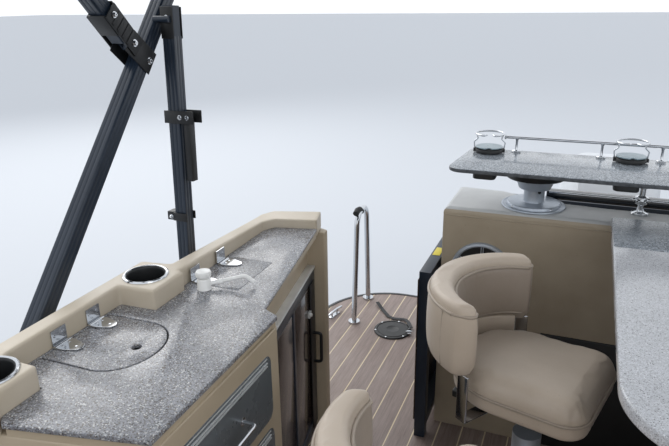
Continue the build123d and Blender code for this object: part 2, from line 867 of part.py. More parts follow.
# Helm
helm_x = (580.0, fence_x - 50.0)
dash = ((250.0, 700.0), (430.0, 950.0))
with BuildPart() as helm_console:
    with BuildSketch(Plane.YZ.offset(helm_x[0])):
        with BuildLine():
            Polyline(
                (250, deck_top),
                (dash[0][0], deck_top + dash[0][1]),
                (dash[1][0], deck_top + dash[1][1]),
                (620, deck_top + 985),
                (780, deck_top + 700),
                (800, deck_top),
                close=True,
            )
        make_face()
    extrude(amount=helm_x[1] - helm_x[0])
    fillet(helm_console.edges().filter_by(Axis.X).sort_by(Axis.Z)[-4:], 30)
nodes["helm_console"] = helm_console.part

screen_y = (560.0, 566.5)
screen_feet = [950 + (y - 430) * 35 / 190 + seat_gap for y in screen_y]
with BuildPart() as windscreen:
    with BuildSketch(Plane.YZ.offset(helm_x[0] + 40)):
        with BuildLine():
            Polyline(
                (screen_y[0], deck_top + screen_feet[0]),
                (screen_y[0] - 130, deck_top + 1260),
                (screen_y[0] - 124, deck_top + 1263),
                (screen_y[1], deck_top + screen_feet[1]),
                close=True,
            )
        make_face()
    extrude(amount=helm_x[1] - helm_x[0] - 80)
nodes["windscreen"] = windscreen.part

dash_run = Vector(0, dash[1][0] - dash[0][0], dash[1][1] - dash[0][1]).normalized()
dash_normal = Vector(0, -dash_run.Z, dash_run.Y)
wheel_seat = Vector(chair_place[0], dash[0][0], deck_top + dash[0][1]) + dash_run * 100
wheel_reach = 110.0
wheel_centre = wheel_seat + dash_normal * wheel_reach
wheel_plane = Plane(origin=wheel_centre, x_dir=(1, 0, 0), z_dir=dash_normal)
wheel_radius = 170.0
with BuildPart() as steering_wheel:
    rim_start = wheel_centre + Vector(wheel_radius, 0, 0)
    with BuildSketch(Plane(origin=rim_start, x_dir=(1, 0, 0), z_dir=dash_run)):
        Circle(14)
    revolve(axis=Axis(wheel_centre, dash_normal))
    with BuildSketch(wheel_plane.offset(-14)):
        Circle(42)
    extrude(amount=24)
    for angle in (90, 210, 330):
        heading = Vector(1, 0, 0) * math.cos(math.radians(angle)) + dash_run * math.sin(math.radians(angle))
        rod(wheel_centre + heading * 30, wheel_centre + heading * wheel_radius, 9)
    with BuildSketch(wheel_plane.offset(seat_gap - wheel_reach)):
        Circle(20)
    extrude(amount=wheel_reach - 10)
nodes["steering_wheel"] = steering_wheel.part

chair_x, chair_y = chair_place
with BuildPart() as chair_pads:
    seat_h = (chair_base_h, chair_base_h + 110)
    back_h = (chair_base_h + 70, chair_base_h + 640)
    cushion((chair_x - 260, chair_x + 260), (chair_y - 230, chair_y + 250), seat_h[0], seat_h[1], 70, 30)
    cushion((chair_x - 255, chair_x + 255), (chair_y - 330, chair_y - 235), back_h[0], back_h[1], 40, 30)
nodes["chair_pads"] = chair_pads.part
with BuildPart() as chair_frame:
    sill = (chair_base_h - 20, chair_base_h - 1)
    tray = (sill[0] - 20, chair_base_h - seat_gap)
    deck_block((chair_x - 230, chair_x + 230), (chair_y - 225, chair_y + 225), tray)
    disc(chair_place, chair_base_h - 100, chair_base_h - 40, 60)
    deck_block((chair_x - 200, chair_x + 200), (chair_y - 300, chair_y - 225), sill)
    ledge = (sill[0], back_h[0] - seat_gap)
    deck_block((chair_x - 200, chair_x + 200), (chair_y - 300, chair_y - 280), ledge)
    for side in (-1, 1):
        low, high = sorted((side * 266, side * 310))
        arm_h = (chair_base_h + 220, chair_base_h + 265)
        deck_block((chair_x + low, chair_x + high), (chair_y - 290, chair_y + 120), arm_h)
        deck_block((chair_x + low, chair_x + high), (chair_y - 290, chair_y - 250), (sill[0], arm_h[0] + 1))
        bracket = tuple(sorted((chair_x + side * 195, chair_x + side * 310)))
        deck_block(bracket, (chair_y - 290, chair_y - 250), sill)
nodes["chair_frame"] = chair_frame.part

# Lounges: moulded bases with pads on them
lounge_outer = fence_x - 45.0
lounge_rows = (  # inner x, outer x, aft y, forward y
    (640.0, lounge_outer, 1000.0, fence_bow_y - 590.0),
    (-640.0, -lounge_outer, 760.0, fence_bow_y - 590.0),
    (-640.0, -lounge_outer, -1750.0, -260.0),
)
pad_x = (50.0 - fence_x, 540.0)
pad_y = (fence_stern_y + 30.0, -3385.0)
lounge_base_h = 330.0
lounge_seat_h = 440.0
lounge_back_h = 760.0
locker_corner = 250.0


def locker(inset, h, mode):
    # the stern locker's block, with its port corner rounded like the fence, or its hollow
    with BuildSketch(level(h[0])) as plan:
        with Locations(((pad_x[0] + pad_x[1]) / 2, (pad_y[0] + pad_y[1]) / 2)):
            Rectangle(pad_x[1] - pad_x[0] - 2 * inset, pad_y[1] - pad_y[0] - 2 * inset)
        fillet(plan.vertices().sort_by_distance((pad_x[0], pad_y[0]))[0], locker_corner - inset)
    extrude(plan.sketch, amount=h[1] - h[0], mode=mode)


with BuildPart() as lounge_bases:
    for inner, outer, aft, forward in lounge_rows:
        x = tuple(sorted((inner, outer)))
        toe = tuple(sorted((inner + math.copysign(60, inner), outer)))
        deck_block(x, (aft, forward), (90, lounge_base_h))
        deck_block(toe, (aft + 30, forward - 30), (0, 90))
    locker(0, (0, lounge_base_h), Mode.ADD)
    locker(30, (20, lounge_base_h + 1), Mode.SUBTRACT)
nodes["lounge_bases"] = lounge_bases.part
with BuildPart() as lounge_pads:
    for inner, outer, aft, forward in lounge_rows:
        x = tuple(sorted((inner, outer - math.copysign(130, outer))))
        cushion(x, (aft + 5, forward - 5), lounge_base_h + 0.3, lounge_seat_h, 50, 28)
        x = tuple(sorted((outer - math.copysign(125, outer), outer)))
        cushion(x, (aft + 5, forward - 5), lounge_base_h + 0.3, lounge_back_h, 45, 28)
nodes["lounge_pads"] = lounge_pads.part

# Sun pad over the stern locker
with BuildPart() as sun_pad:
    pad_low = lounge_base_h + seat_gap
    locker(4, (pad_low, pad_low + 90), Mode.ADD)
    fillet(sun_pad.faces().sort_by(Axis.Z)[-1].edges(), 30)
nodes["sun_pad"] = sun_pad.part

# Bimini
lean = math.radians(bimini_lean)
rise = math.radians(aux_rise)
base_y, base_h_rail = bimini_base
leg_length = (bimini_top_h - base_h_rail) / math.sin(lean)
leg_dir = Vector(0, -math.cos(lean), math.sin(lean))
leg_side = Vector(0, math.sin(lean), math.cos(lean))
leg_foot = Vector(0, base_y, deck_top + base_h_rail)
leg_tip = leg_foot + leg_dir * leg_length
aux_pivot = leg_foot + leg_dir * aux_along + leg_side * aux_offset
aux_length = (bimini_top_h - (aux_pivot.Z - deck_top)) / math.sin(rise)
aux_dir = Vector(0, math.cos(rise), math.sin(rise))
aux_tip = aux_pivot + aux_dir * aux_length
bow_bend = 170.0
strut_foot = Vector(0, strut_foot_place[0], deck_top + strut_foot_place[1])
strut_head = Vector(0, strut_head_place[0], deck_top + strut_head_place[1])
strut_dir = (strut_head - strut_foot).normalized()


def bow_frame(foot, tip, direction, side_x, tube):
    # an upright bow: a leg each side and a bar across, of square tube
    with BuildLine() as path:
        FilletPolyline(
            (side_x, foot.Y, foot.Z),
            (side_x, tip.Y, tip.Z),
            (-side_x, tip.Y, tip.Z),
            (-side_x, foot.Y, foot.Z),
            radius=bow_bend,
        )
    with BuildSketch(Plane(origin=path.line @ 0, x_dir=(1, 0, 0), z_dir=direction)) as section:
        RectangleRounded(tube, tube, 6)
    sweep(section.sketch, path=path.line)


def hinge_eye(centre, direction, reach, gap, wall):
    # two cheeks and a pin about a hinge, reaching along a tube
    for side in (-1, 1):
        near = Vector(side * gap, 0, 0)
        with BuildSketch(Plane(origin=centre + near, x_dir=direction, z_dir=(side, 0, 0))) as cheek:
            Circle(12)
            with Locations((reach / 2, 0)):
                Rectangle(reach, 24)
        extrude(cheek.sketch, amount=wall)
    half = Vector(gap + wall - 1, 0, 0)
    rod(tuple(centre - half), tuple(centre + half), hinge_pin)


with BuildPart() as bimini_main:
    bow_frame(leg_foot + leg_dir * 30, leg_tip, leg_dir, bimini_x, bimini_tube)
    for side in (-1, 1):
        x = Vector(side * bimini_x, 0, 0)
        hinge_eye(leg_foot + x, leg_dir, 40, 5.3, 6)
        knuckle = aux_pivot + x
        with BuildSketch(Plane(origin=knuckle - Vector(5, 0, 0), x_dir=leg_side, z_dir=(1, 0, 0))) as lug:
            Circle(12)
            with Locations((-aux_offset / 2, 0)):
                Rectangle(aux_offset, 24)
        extrude(lug.sketch, amount=10)
        ends = (tuple(knuckle - Vector(6, 0, 0)), tuple(knuckle + Vector(6, 0, 0)))
        rod(ends[0], ends[1], hinge_pin + pin_gap, Mode.SUBTRACT)
        clasp = leg_foot + leg_dir * clasp_along + leg_side * clasp_side
        clasp += Vector(side * (bimini_x - 66), 0, 0)
        rod(tuple(clasp), tuple(clasp + Vector(side * 50, 0, 0)), clasp_radius)
nodes["bimini_main"] = bimini_main.part

with BuildPart() as bimini_aux:
    bow_frame(aux_pivot + aux_dir * 30, aux_tip, aux_dir, bimini_x, bimini_tube)
    for side in (-1, 1):
        hinge_eye(aux_pivot + Vector(side * bimini_x, 0, 0), aux_dir, 40, 5.3, 6)
nodes["bimini_aux"] = bimini_aux.part

with BuildPart() as bimini_struts:
    for side in (-1, 1):
        start = strut_foot + Vector(side * strut_x, 0, 0)
        with BuildSketch(Plane(origin=start + strut_dir * 28, x_dir=(1, 0, 0), z_dir=strut_dir)):
            RectangleRounded(strut_tube, strut_tube, 5)
        extrude(amount=(strut_head - strut_foot).length - 28)
        hinge_eye(start, strut_dir, 40, 5.3, 6)
nodes["bimini_struts"] = bimini_struts.part

canvas_front = aux_tip + Vector(0, 60, 0)
canvas_rear = leg_tip + Vector(0, -60, 0)
with BuildPart() as bimini_canvas:
    with BuildSketch(Plane.YZ.offset(-bimini_x + 40)):
        with BuildLine():
            low = leg_tip.Z + bimini_tube / 2 + 1
            crest = ((canvas_front.Y + canvas_rear.Y) / 2, low + 45)
            ThreePointArc((canvas_rear.Y, low), crest, (canvas_front.Y, low))
            Line((canvas_front.Y, low), (canvas_front.Y, low + 8))
            ThreePointArc((canvas_front.Y, low + 8), (crest[0], crest[1] + 8), (canvas_rear.Y, low + 8))
            Line((canvas_rear.Y, low + 8), (canvas_rear.Y, low))
        make_face()
    extrude(amount=2 * bimini_x - 80)
nodes["bimini_canvas"] = bimini_canvas.part

# Stern platform: handrail, round hatch and the ladder that slides out from under the deck
handrail_h = 540.0
handrail_feet = (
    (deck_half_width - 180.0, deck_stern + 371.0),
    (deck_half_width - 160.0, deck_stern + 98.0),
)
with BuildPart() as ladder_handrail:
    fore_foot, aft_foot = handrail_feet
    pipe(
        (
            (fore_foot[0], fore_foot[1], deck_top + 6),
            (fore_foot[0] + 8, fore_foot[1] - 71, deck_top + handrail_h),
            (aft_foot[0] - 6, aft_foot[1] + 52, deck_top + handrail_h),
            (aft_foot[0], aft_foot[1], deck_top + 6),
        ),
        70,
        13,
    )
    for place in handrail_feet:
        disc(place, 0.3, 9, 28)
nodes["ladder_handrail"] = ladder_handrail.part

hatch_place = (deck_half_width - 360.0, deck_stern + 305.0)
with BuildPart() as round_hatch:
    disc(hatch_place, seat_gap, 9, 66)
nodes["round_hatch"] = round_hatch.part

ladder_x = (deck_half_width - 660, deck_half_width - 280)
ladder_y = (deck_stern + 30.0, deck_stern + 510.0)
ladder_z = riser_top - 55.0
ladder_bar = 14.0
with BuildPart() as ladder:
    for x in ladder_x:
        rod((x, ladder_y[0], ladder_z), (x, ladder_y[1], ladder_z), ladder_bar)
    for index in range(4):
        y = ladder_y[0] + 30 + index * 135
        block((ladder_x[0], ladder_x[1]), (y - 28, y + 28), (ladder_z - 10, ladder_z + 10))
nodes["ladder"] = ladder.part

with BuildPart() as ladder_rails:
    for x in (ladder_x[0] - ladder_bar - 15.3, ladder_x[1] + ladder_bar + 15.3):
        block((x - 15, x + 15), (ladder_y[0], ladder_y[1]), (ladder_z - 16, riser_top - seat_gap))
nodes["ladder_rails"] = ladder_rails.part

# Motor, drawn upright in its running place and then tilted up about the tilt tube


def motor_block(x, aft, up, mode=Mode.ADD):
    # a box measured from the tilt tube: aft and upwards
    block(x, (tilt_y - aft[1], tilt_y - aft[0]), (tilt_z + up[0], tilt_z + up[1]), mode)


def tilted(shape):
    return shape.rotate(Axis((0, tilt_y, tilt_z), (1, 0, 0)), motor_rest_tilt)


steer_aft = 120.0
gear_drop = -960.0
prop_aft = 401.0
hub_length = 120.0
shaft_radius = 12.0
transom_face = -(pod_stern - transom_thickness - tilt_y)
with BuildPart() as motor_bracket:
    for side in (-1, 1):
        x = tuple(sorted((side * 92, side * 112)))
        motor_block(x, (transom_face + seat_gap, 30), (-330, 22))
        motor_block(x, (transom_face - transom_thickness - 30, 10), (pod_top - tilt_z + seat_gap, -12))
    rod((-112, tilt_y, tilt_z), (112, tilt_y, tilt_z), 14)
nodes["motor_bracket"] = motor_bracket.part

with BuildPart() as motor_swivel:
    rod((-88, tilt_y, tilt_z), (88, tilt_y, tilt_z), 26)
    motor_block((-60, 60), (0, steer_aft), (-40, 24))
    rod((0, tilt_y - steer_aft, tilt_z - 330), (0, tilt_y - steer_aft, tilt_z + 30), 42)
    rod((-92, tilt_y, tilt_z), (92, tilt_y, tilt_z), 14.05, Mode.SUBTRACT)
    rod((0, tilt_y - steer_aft, tilt_z - 331), (0, tilt_y - steer_aft, tilt_z + 31), 22.05, Mode.SUBTRACT)
nodes["motor_swivel"] = tilted(motor_swivel.part)

with BuildPart() as motor_leg:
    rod((0, tilt_y - steer_aft, tilt_z - 345), (0, tilt_y - steer_aft, tilt_z + 45), 22)
    motor_block((-110, 110), (40, 420), (36, 70))
    motor_block((-55, 55), (60, 330), (-400, -336))
    motor_block((-60, 60), (175, 340), (-400, 40))
    motor_block((-45, 45), (110, 340), (gear_drop + 30, -395))
    motor_block((-95, 95), (60, 470), (-745, -733))
    rod((0, tilt_y - 60, tilt_z + gear_drop), (0, tilt_y - 400, tilt_z + gear_drop), 62)
    motor_block((-9, 9), (180, 380), (gear_drop - 200, gear_drop - 40))
    motor_block((-30, 30), (130, 330), (gear_drop, -755))
    shaft_end = tilt_y - prop_aft - hub_length + 20
    rod((0, tilt_y - 390, tilt_z + gear_drop), (0, shaft_end, tilt_z + gear_drop), shaft_radius)
nodes["motor_leg"] = tilted(motor_leg.part)

cowl_rows = (  # height over the tilt tube, half width, front, back, corner radius
    (70.3, 215.0, 20.0, 640.0, 90.0),
    (305.0, 245.0, -5.0, 700.0, 110.0),
    (500.0, 225.0, 25.0, 670.0, 110.0),
    (590.0, 150.0, 130.0, 560.0, 90.0),
)
cowl_wall = 8.0


def cowl_form(inset, lift, mode=Mode.ADD):
    # the cowl's outer form, or its hollow when it is drawn smaller
    faces = []
    for up, half, front, back, corner in cowl_rows:
        height = up + lift if up == cowl_rows[0][0] else up - inset
        middle = (0, tilt_y - (front + back) / 2, tilt_z + height)
        with BuildSketch(Plane(origin=middle)) as ring:
            RectangleRounded(2 * (half - inset), back - front - 2 * inset, corner - inset)
        faces.append(ring.sketch.faces()[0])
    loft(faces, ruled=True, mode=mode)


with BuildPart() as motor_cowl:
    cowl_form(0, 0)
    cowl_form(cowl_wall, cowl_wall, Mode.SUBTRACT)
nodes["motor_cowl"] = tilted(motor_cowl.part)

with BuildPart() as engine_block:
    motor_block((-150, 150), (90, 520), (78.6, 430))
nodes["engine_block"] = tilted(engine_block.part)

hub_front = (0, tilt_y - prop_aft, tilt_z + gear_drop)
hub_back = (0, tilt_y - prop_aft - hub_length, tilt_z + gear_drop)
with BuildPart() as propeller:
    rod(hub_front, hub_back, 52)
    for index in range(3):
        turn = math.radians(120 * index)
        heading = Vector(math.sin(turn), 0, math.cos(turn))
        across = Vector(math.cos(turn), 0, -math.sin(turn))
        centre = Vector(0, tilt_y - prop_aft - 60, tilt_z + gear_drop)
        pitch = (across * 0.8 + Vector(0, 1, 0) * 0.6).normalized()
        with BuildSketch(Plane(origin=centre + heading * 110, x_dir=heading, z_dir=pitch.cross(heading))):
            Ellipse(80, 52)
        extrude(amount=5, both=True)
    rod(hub_front, (0, shaft_end, tilt_z + gear_drop), shaft_radius + pin_gap, Mode.SUBTRACT)
nodes["propeller"] = tilted(propeller.part)

for node, solid in nodes.items():
    solid.label = node
    export_step(solid, "parts/" + node + ".step")
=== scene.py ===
import json
import math

import bmesh
import bpy
from mathutils import Matrix, Vector


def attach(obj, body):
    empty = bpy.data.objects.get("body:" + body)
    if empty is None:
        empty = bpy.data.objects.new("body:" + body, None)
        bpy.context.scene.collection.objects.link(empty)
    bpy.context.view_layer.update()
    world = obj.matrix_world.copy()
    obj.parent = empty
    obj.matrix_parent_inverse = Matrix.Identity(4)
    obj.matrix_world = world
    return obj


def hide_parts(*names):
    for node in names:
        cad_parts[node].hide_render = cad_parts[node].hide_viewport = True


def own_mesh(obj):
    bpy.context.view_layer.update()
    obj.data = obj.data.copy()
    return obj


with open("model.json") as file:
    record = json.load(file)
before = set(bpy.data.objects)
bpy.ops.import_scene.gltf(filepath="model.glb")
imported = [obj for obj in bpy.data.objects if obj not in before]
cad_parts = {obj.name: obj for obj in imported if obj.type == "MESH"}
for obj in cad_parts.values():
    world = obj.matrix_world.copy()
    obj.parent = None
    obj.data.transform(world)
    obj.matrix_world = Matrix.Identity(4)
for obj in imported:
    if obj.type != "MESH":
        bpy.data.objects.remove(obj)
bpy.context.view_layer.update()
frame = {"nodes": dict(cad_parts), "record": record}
nodes = frame["nodes"]

# Everything is in metres, in the boat's own frame: +Y to the bow, +X to starboard, z up from the keels
deckTop = 0.800
waterline = 0.360
sharpAngle = 35.0  # edges sharper than this are rounded
xAxis, yAxis, zAxis = Vector((1, 0, 0)), Vector((0, 1, 0)), Vector((0, 0, 1))


def linear(code):
    # a colour written as in a paint chart, "b9aa92", as the shader wants it
    parts = [int(code[i : i + 2], 16) / 255 for i in (0, 2, 4)]
    return tuple(c / 12.92 if c <= 0.04045 else ((c + 0.055) / 1.055) ** 2.4 for c in parts) + (1.0,)


# Camera at standing height amidships, looking aft over the galley

camera = {
    "place": (0.150, -1.030, deckTop + 1.5),
    "heading": 201.94,  # turn about z, 0 looks to the bow
    "pitch": -19.53,
    "roll": -0.757,
    "lens": 33.92,
    "sensor": 36.0,
}


def addCamera():
    data = bpy.data.cameras.new("deckCamera")
    data.sensor_width = camera["sensor"]
    data.lens = camera["lens"]
    data.clip_end = 400
    holder = placed("deckCamera", data)
    turn = Matrix.Rotation(math.radians(camera["heading"]), 4, "Z")
    nod = Matrix.Rotation(math.radians(90 + camera["pitch"]), 4, "X")
    tip = Matrix.Rotation(math.radians(camera["roll"]), 4, "Z")
    holder.matrix_world = Matrix.Translation(camera["place"]) @ turn @ nod @ tip
    bpy.context.scene.camera = holder


def placed(name, data):
    # a new object in the scene
    thing = bpy.data.objects.new(name, data)
    bpy.context.scene.collection.objects.link(thing)
    return thing


# Materials

def newMaterial(name, colour, rough, metal=0.0):
    mat = bpy.data.materials.new(name)
    mat.use_nodes = True
    shader = mat.node_tree.nodes["Principled BSDF"]
    shader.inputs["Base Color"].default_value = linear(colour)
    shader.inputs["Roughness"].default_value = rough
    shader.inputs["Metallic"].default_value = metal
    return mat, mat.node_tree, shader


def put(tree, kind, values=None, **settings):
    # one node with its settings, and its inputs set or linked
    node = tree.nodes.new(kind)
    for key, value in settings.items():
        setattr(node, key, value)
    for socket, value in (values or {}).items():
        if isinstance(value, bpy.types.NodeSocket):
            tree.links.new(value, node.inputs[socket])
        else:
            node.inputs[socket].default_value = value
    return node


def maths(tree, work, first, second=None):
    values = {0: first} if second is None else {0: first, 1: second}
    return put(tree, "ShaderNodeMath", values, operation=work).outputs[0]


def glossFrom(tree, shader, value, rough, span=(0.0, 1.0)):
    # roughness between two ends, as a value runs over its span
    values = {"Value": value, 1: span[0], 2: span[1], 3: rough[0], 4: rough[1]}
    tree.links.new(put(tree, "ShaderNodeMapRange", values).outputs[0], shader.inputs["Roughness"])


def objectPoint(tree, stretch=(1, 1, 1)):
    place = put(tree, "ShaderNodeTexCoord")
    return put(tree, "ShaderNodeMapping", {"Vector": place.outputs["Object"], "Scale": stretch}).outputs[0]


def noise(tree, scale, detail=2.0, stretch=(1, 1, 1), rough=0.5):
    values = {"Vector": objectPoint(tree, stretch), "Scale": scale, "Detail": detail, "Roughness": rough}
    return put(tree, "ShaderNodeTexNoise", values).outputs["Fac"]


def ramp(tree, source, stops, smooth="LINEAR"):
    node = put(tree, "ShaderNodeValToRGB", {"Fac": source})
    band = node.color_ramp
    band.interpolation = smooth
    while len(band.elements) < len(stops):
        band.elements.new(0.5)
    for element, (place, value) in zip(band.elements, stops):
        element.position = place
        element.color = linear(value) if isinstance(value, str) else (value, value, value, 1)
    return node.outputs["Color"]


def blendColour(tree, share, first, second):
    node = put(tree, "ShaderNodeMix", data_type="RGBA", blend_type="MIX")
    for socket, value in ((0, share), (6, first), (7, second)):
        if isinstance(value, bpy.types.NodeSocket):
            tree.links.new(value, node.inputs[socket])
        else:
            node.inputs[socket].default_value = linear(value) if isinstance(value, str) else value
    return node.outputs[2]


def paint(tree, shader, colour):
    tree.links.new(colour, shader.inputs["Base Color"])


def bump(tree, shader, height, strength, distance):
    # adds to a bump that the shader already has
    before = shader.inputs["Normal"].links
    values = {"Height": height, "Strength": strength, "Distance": distance}
    if before:
        values["Normal"] = before[0].from_socket
    node = put(tree, "ShaderNodeBump", values)
    tree.links.new(node.outputs[0], shader.inputs["Normal"])


def mottled(name, colour, second, rough, metal=0.0, scale=6.0, grain=0.0, grainScale=900.0, roughSpread=0.08):
    # a finish with slow colour changes, uneven gloss and, if wanted, a fine grain
    mat, tree, shader = newMaterial(name, colour, rough, metal)
    slow = noise(tree, scale, 4.0)
    share = ramp(tree, slow, ((0.3, 0.0), (0.7, 1.0)))
    paint(tree, shader, blendColour(tree, share, colour, second))
    uneven = noise(tree, scale * 3, 3.0)
    glossFrom(tree, shader, uneven, (rough - roughSpread, rough + roughSpread))
    if grain:
        bump(tree, shader, noise(tree, grainScale, 2.0), grain, 0.0006)
    return mat


def plankVinyl():
    # woven vinyl planks: brown-mauve boards along the boat, with thin cream lines
    planks = {"pitch": 0.082, "phase": -0.034, "line": 0.055}
    mat, tree, shader = newMaterial("plankVinyl", "8a7a74", 0.5)
    place = put(tree, "ShaderNodeTexCoord")
    across = put(tree, "ShaderNodeSeparateXYZ", {0: place.outputs["Object"]}).outputs[0]
    shifted = maths(tree, "ADD", across, planks["phase"])
    along = maths(tree, "DIVIDE", shifted, planks["pitch"])
    within = maths(tree, "FRACT", along)
    board = maths(tree, "FLOOR", along)
    isLine = maths(tree, "LESS_THAN", within, planks["line"])
    streaks = noise(tree, 1.0, 6.0, (70, 3.0, 1), 0.65)
    fine = noise(tree, 1.0, 3.0, (420, 16, 1), 0.6)
    wood = ramp(tree, streaks, ((0.25, "6f5f5a"), (0.5, "85756f"), (0.75, "9a8a82")))
    wood = blendColour(tree, ramp(tree, fine, ((0.35, 0.0), (0.75, 0.45))), wood, "b3a49b")
    shade = put(tree, "ShaderNodeTexWhiteNoise", {"W": board}, noise_dimensions="1D").outputs["Value"]
    wood = blendColour(tree, ramp(tree, shade, ((0.0, 0.0), (1.0, 0.22))), wood, "6a5a58")
    paint(tree, shader, blendColour(tree, isLine, wood, "d9c8a8"))
    damp = noise(tree, 2.5, 4.0)
    glossFrom(tree, shader, damp, (0.34, 0.6), (0.3, 0.7))
    bump(tree, shader, fine, 0.5, 0.0006)
    weave = put(tree, "ShaderNodeTexWave", {"Vector": objectPoint(tree), "Scale": 260.0}, bands_direction="Y")
    bump(tree, shader, weave.outputs["Fac"], 0.25, 0.0003)
    groove = maths(tree, "SUBTRACT", 1.0, isLine)
    bump(tree, shader, groove, 0.4, 0.0008)
    return mat


def chipStone(name, tones, rough, chip=420.0, wet=0.5):
    # solid surface with pressed chips: tones are (share, colour) from dark to light
    mat, tree, shader = newMaterial(name, tones[0][1], rough)
    cells = put(tree, "ShaderNodeTexVoronoi", {"Vector": objectPoint(tree), "Scale": chip})
    value = put(tree, "ShaderNodeSeparateColor", {0: cells.outputs["Color"]}).outputs[0]
    chips = ramp(tree, value, tones, "CONSTANT")
    dust = noise(tree, chip * 2.2, 2.0)
    chips = blendColour(tree, ramp(tree, dust, ((0.45, 0.0), (0.75, 0.5))), chips, tones[-2][1])
    cloud = noise(tree, 5.0, 4.0)
    stained = blendColour(tree, ramp(tree, cloud, ((0.35, 0.0), (0.8, 0.25))), chips, tones[0][1])
    paint(tree, shader, stained)
    puddles = noise(tree, 9.0, 3.0)
    glossFrom(tree, shader, puddles, (rough * wet, rough), (0.42, 0.62))
    bump(tree, shader, dust, 0.15, 0.0004)
    return mat


def vinylHide(name, colour, shaded):
    # upholstery vinyl: pebbled grain, a soft sheen, slightly dirty in places
    mat, tree, shader = newMaterial(name, colour, 0.42)
    slow = noise(tree, 7.0, 5.0)
    body = blendColour(tree, ramp(tree, slow, ((0.3, 0.0), (0.75, 1.0))), colour, shaded)
    specks = noise(tree, 160.0, 2.0)
    body = blendColour(tree, ramp(tree, specks, ((0.72, 0.0), (0.8, 0.3))), body, "5f574e")
    paint(tree, shader, body)
    shader.inputs["Sheen Weight"].default_value = 0.15
    pebbles = put(tree, "ShaderNodeTexVoronoi", {"Vector": objectPoint(tree), "Scale": 650.0})
    pebbles.feature = "SMOOTH_F1"
    bump(tree, shader, pebbles.outputs["Distance"], 0.22, 0.0006)
    bump(tree, shader, noise(tree, 26.0, 3.0), 0.3, 0.003)
    glossFrom(tree, shader, noise(tree, 18.0, 3.0), (0.34, 0.52))
    return mat


def brushedMetal(name, colour, rough, stretch, streak=0.12):
    mat, tree, shader = newMaterial(name, colour, rough, 1.0)
    lines = noise(tree, 1.0, 4.0, stretch, 0.6)
    glossFrom(tree, shader, lines, (rough - streak, rough + streak))
    cloud = ramp(tree, noise(tree, 2.2, 5.0), ((0.3, 0.0), (0.8, 0.35)))
    paint(tree, shader, blendColour(tree, cloud, colour, "6f7276"))
    bump(tree, shader, lines, 0.08, 0.0004)
    return mat


def wovenCloth(name, colour, second, scale=900.0):
    mat, tree, shader = newMaterial(name, colour, 0.85)
    point = objectPoint(tree)
    warp = put(tree, "ShaderNodeTexWave", {"Vector": point, "Scale": scale / 6.3}, bands_direction="X").outputs["Fac"]
    weft = put(tree, "ShaderNodeTexWave", {"Vector": point, "Scale": scale / 6.3}, bands_direction="Y").outputs["Fac"]
    thread = maths(tree, "MULTIPLY", warp, weft)
    share = ramp(tree, noise(tree, 3.0, 5.0), ((0.3, 0.0), (0.7, 0.5)))
    paint(tree, shader, blendColour(tree, share, colour, second))
    shader.inputs["Sheen Weight"].default_value = 0.3
    bump(tree, shader, thread, 0.4, 0.0006)
    bump(tree, shader, noise(tree, 4.0, 3.0), 0.5, 0.006)
    return mat


def smokedAcrylic():
    mat, tree, shader = newMaterial("smokedAcrylic", "3c3f42", 0.05)
    shader.inputs["Transmission Weight"].default_value = 0.85
    shader.inputs["IOR"].default_value = 1.49
    glossFrom(tree, shader, noise(tree, 40.0, 4.0), (0.03, 0.12))
    return mat


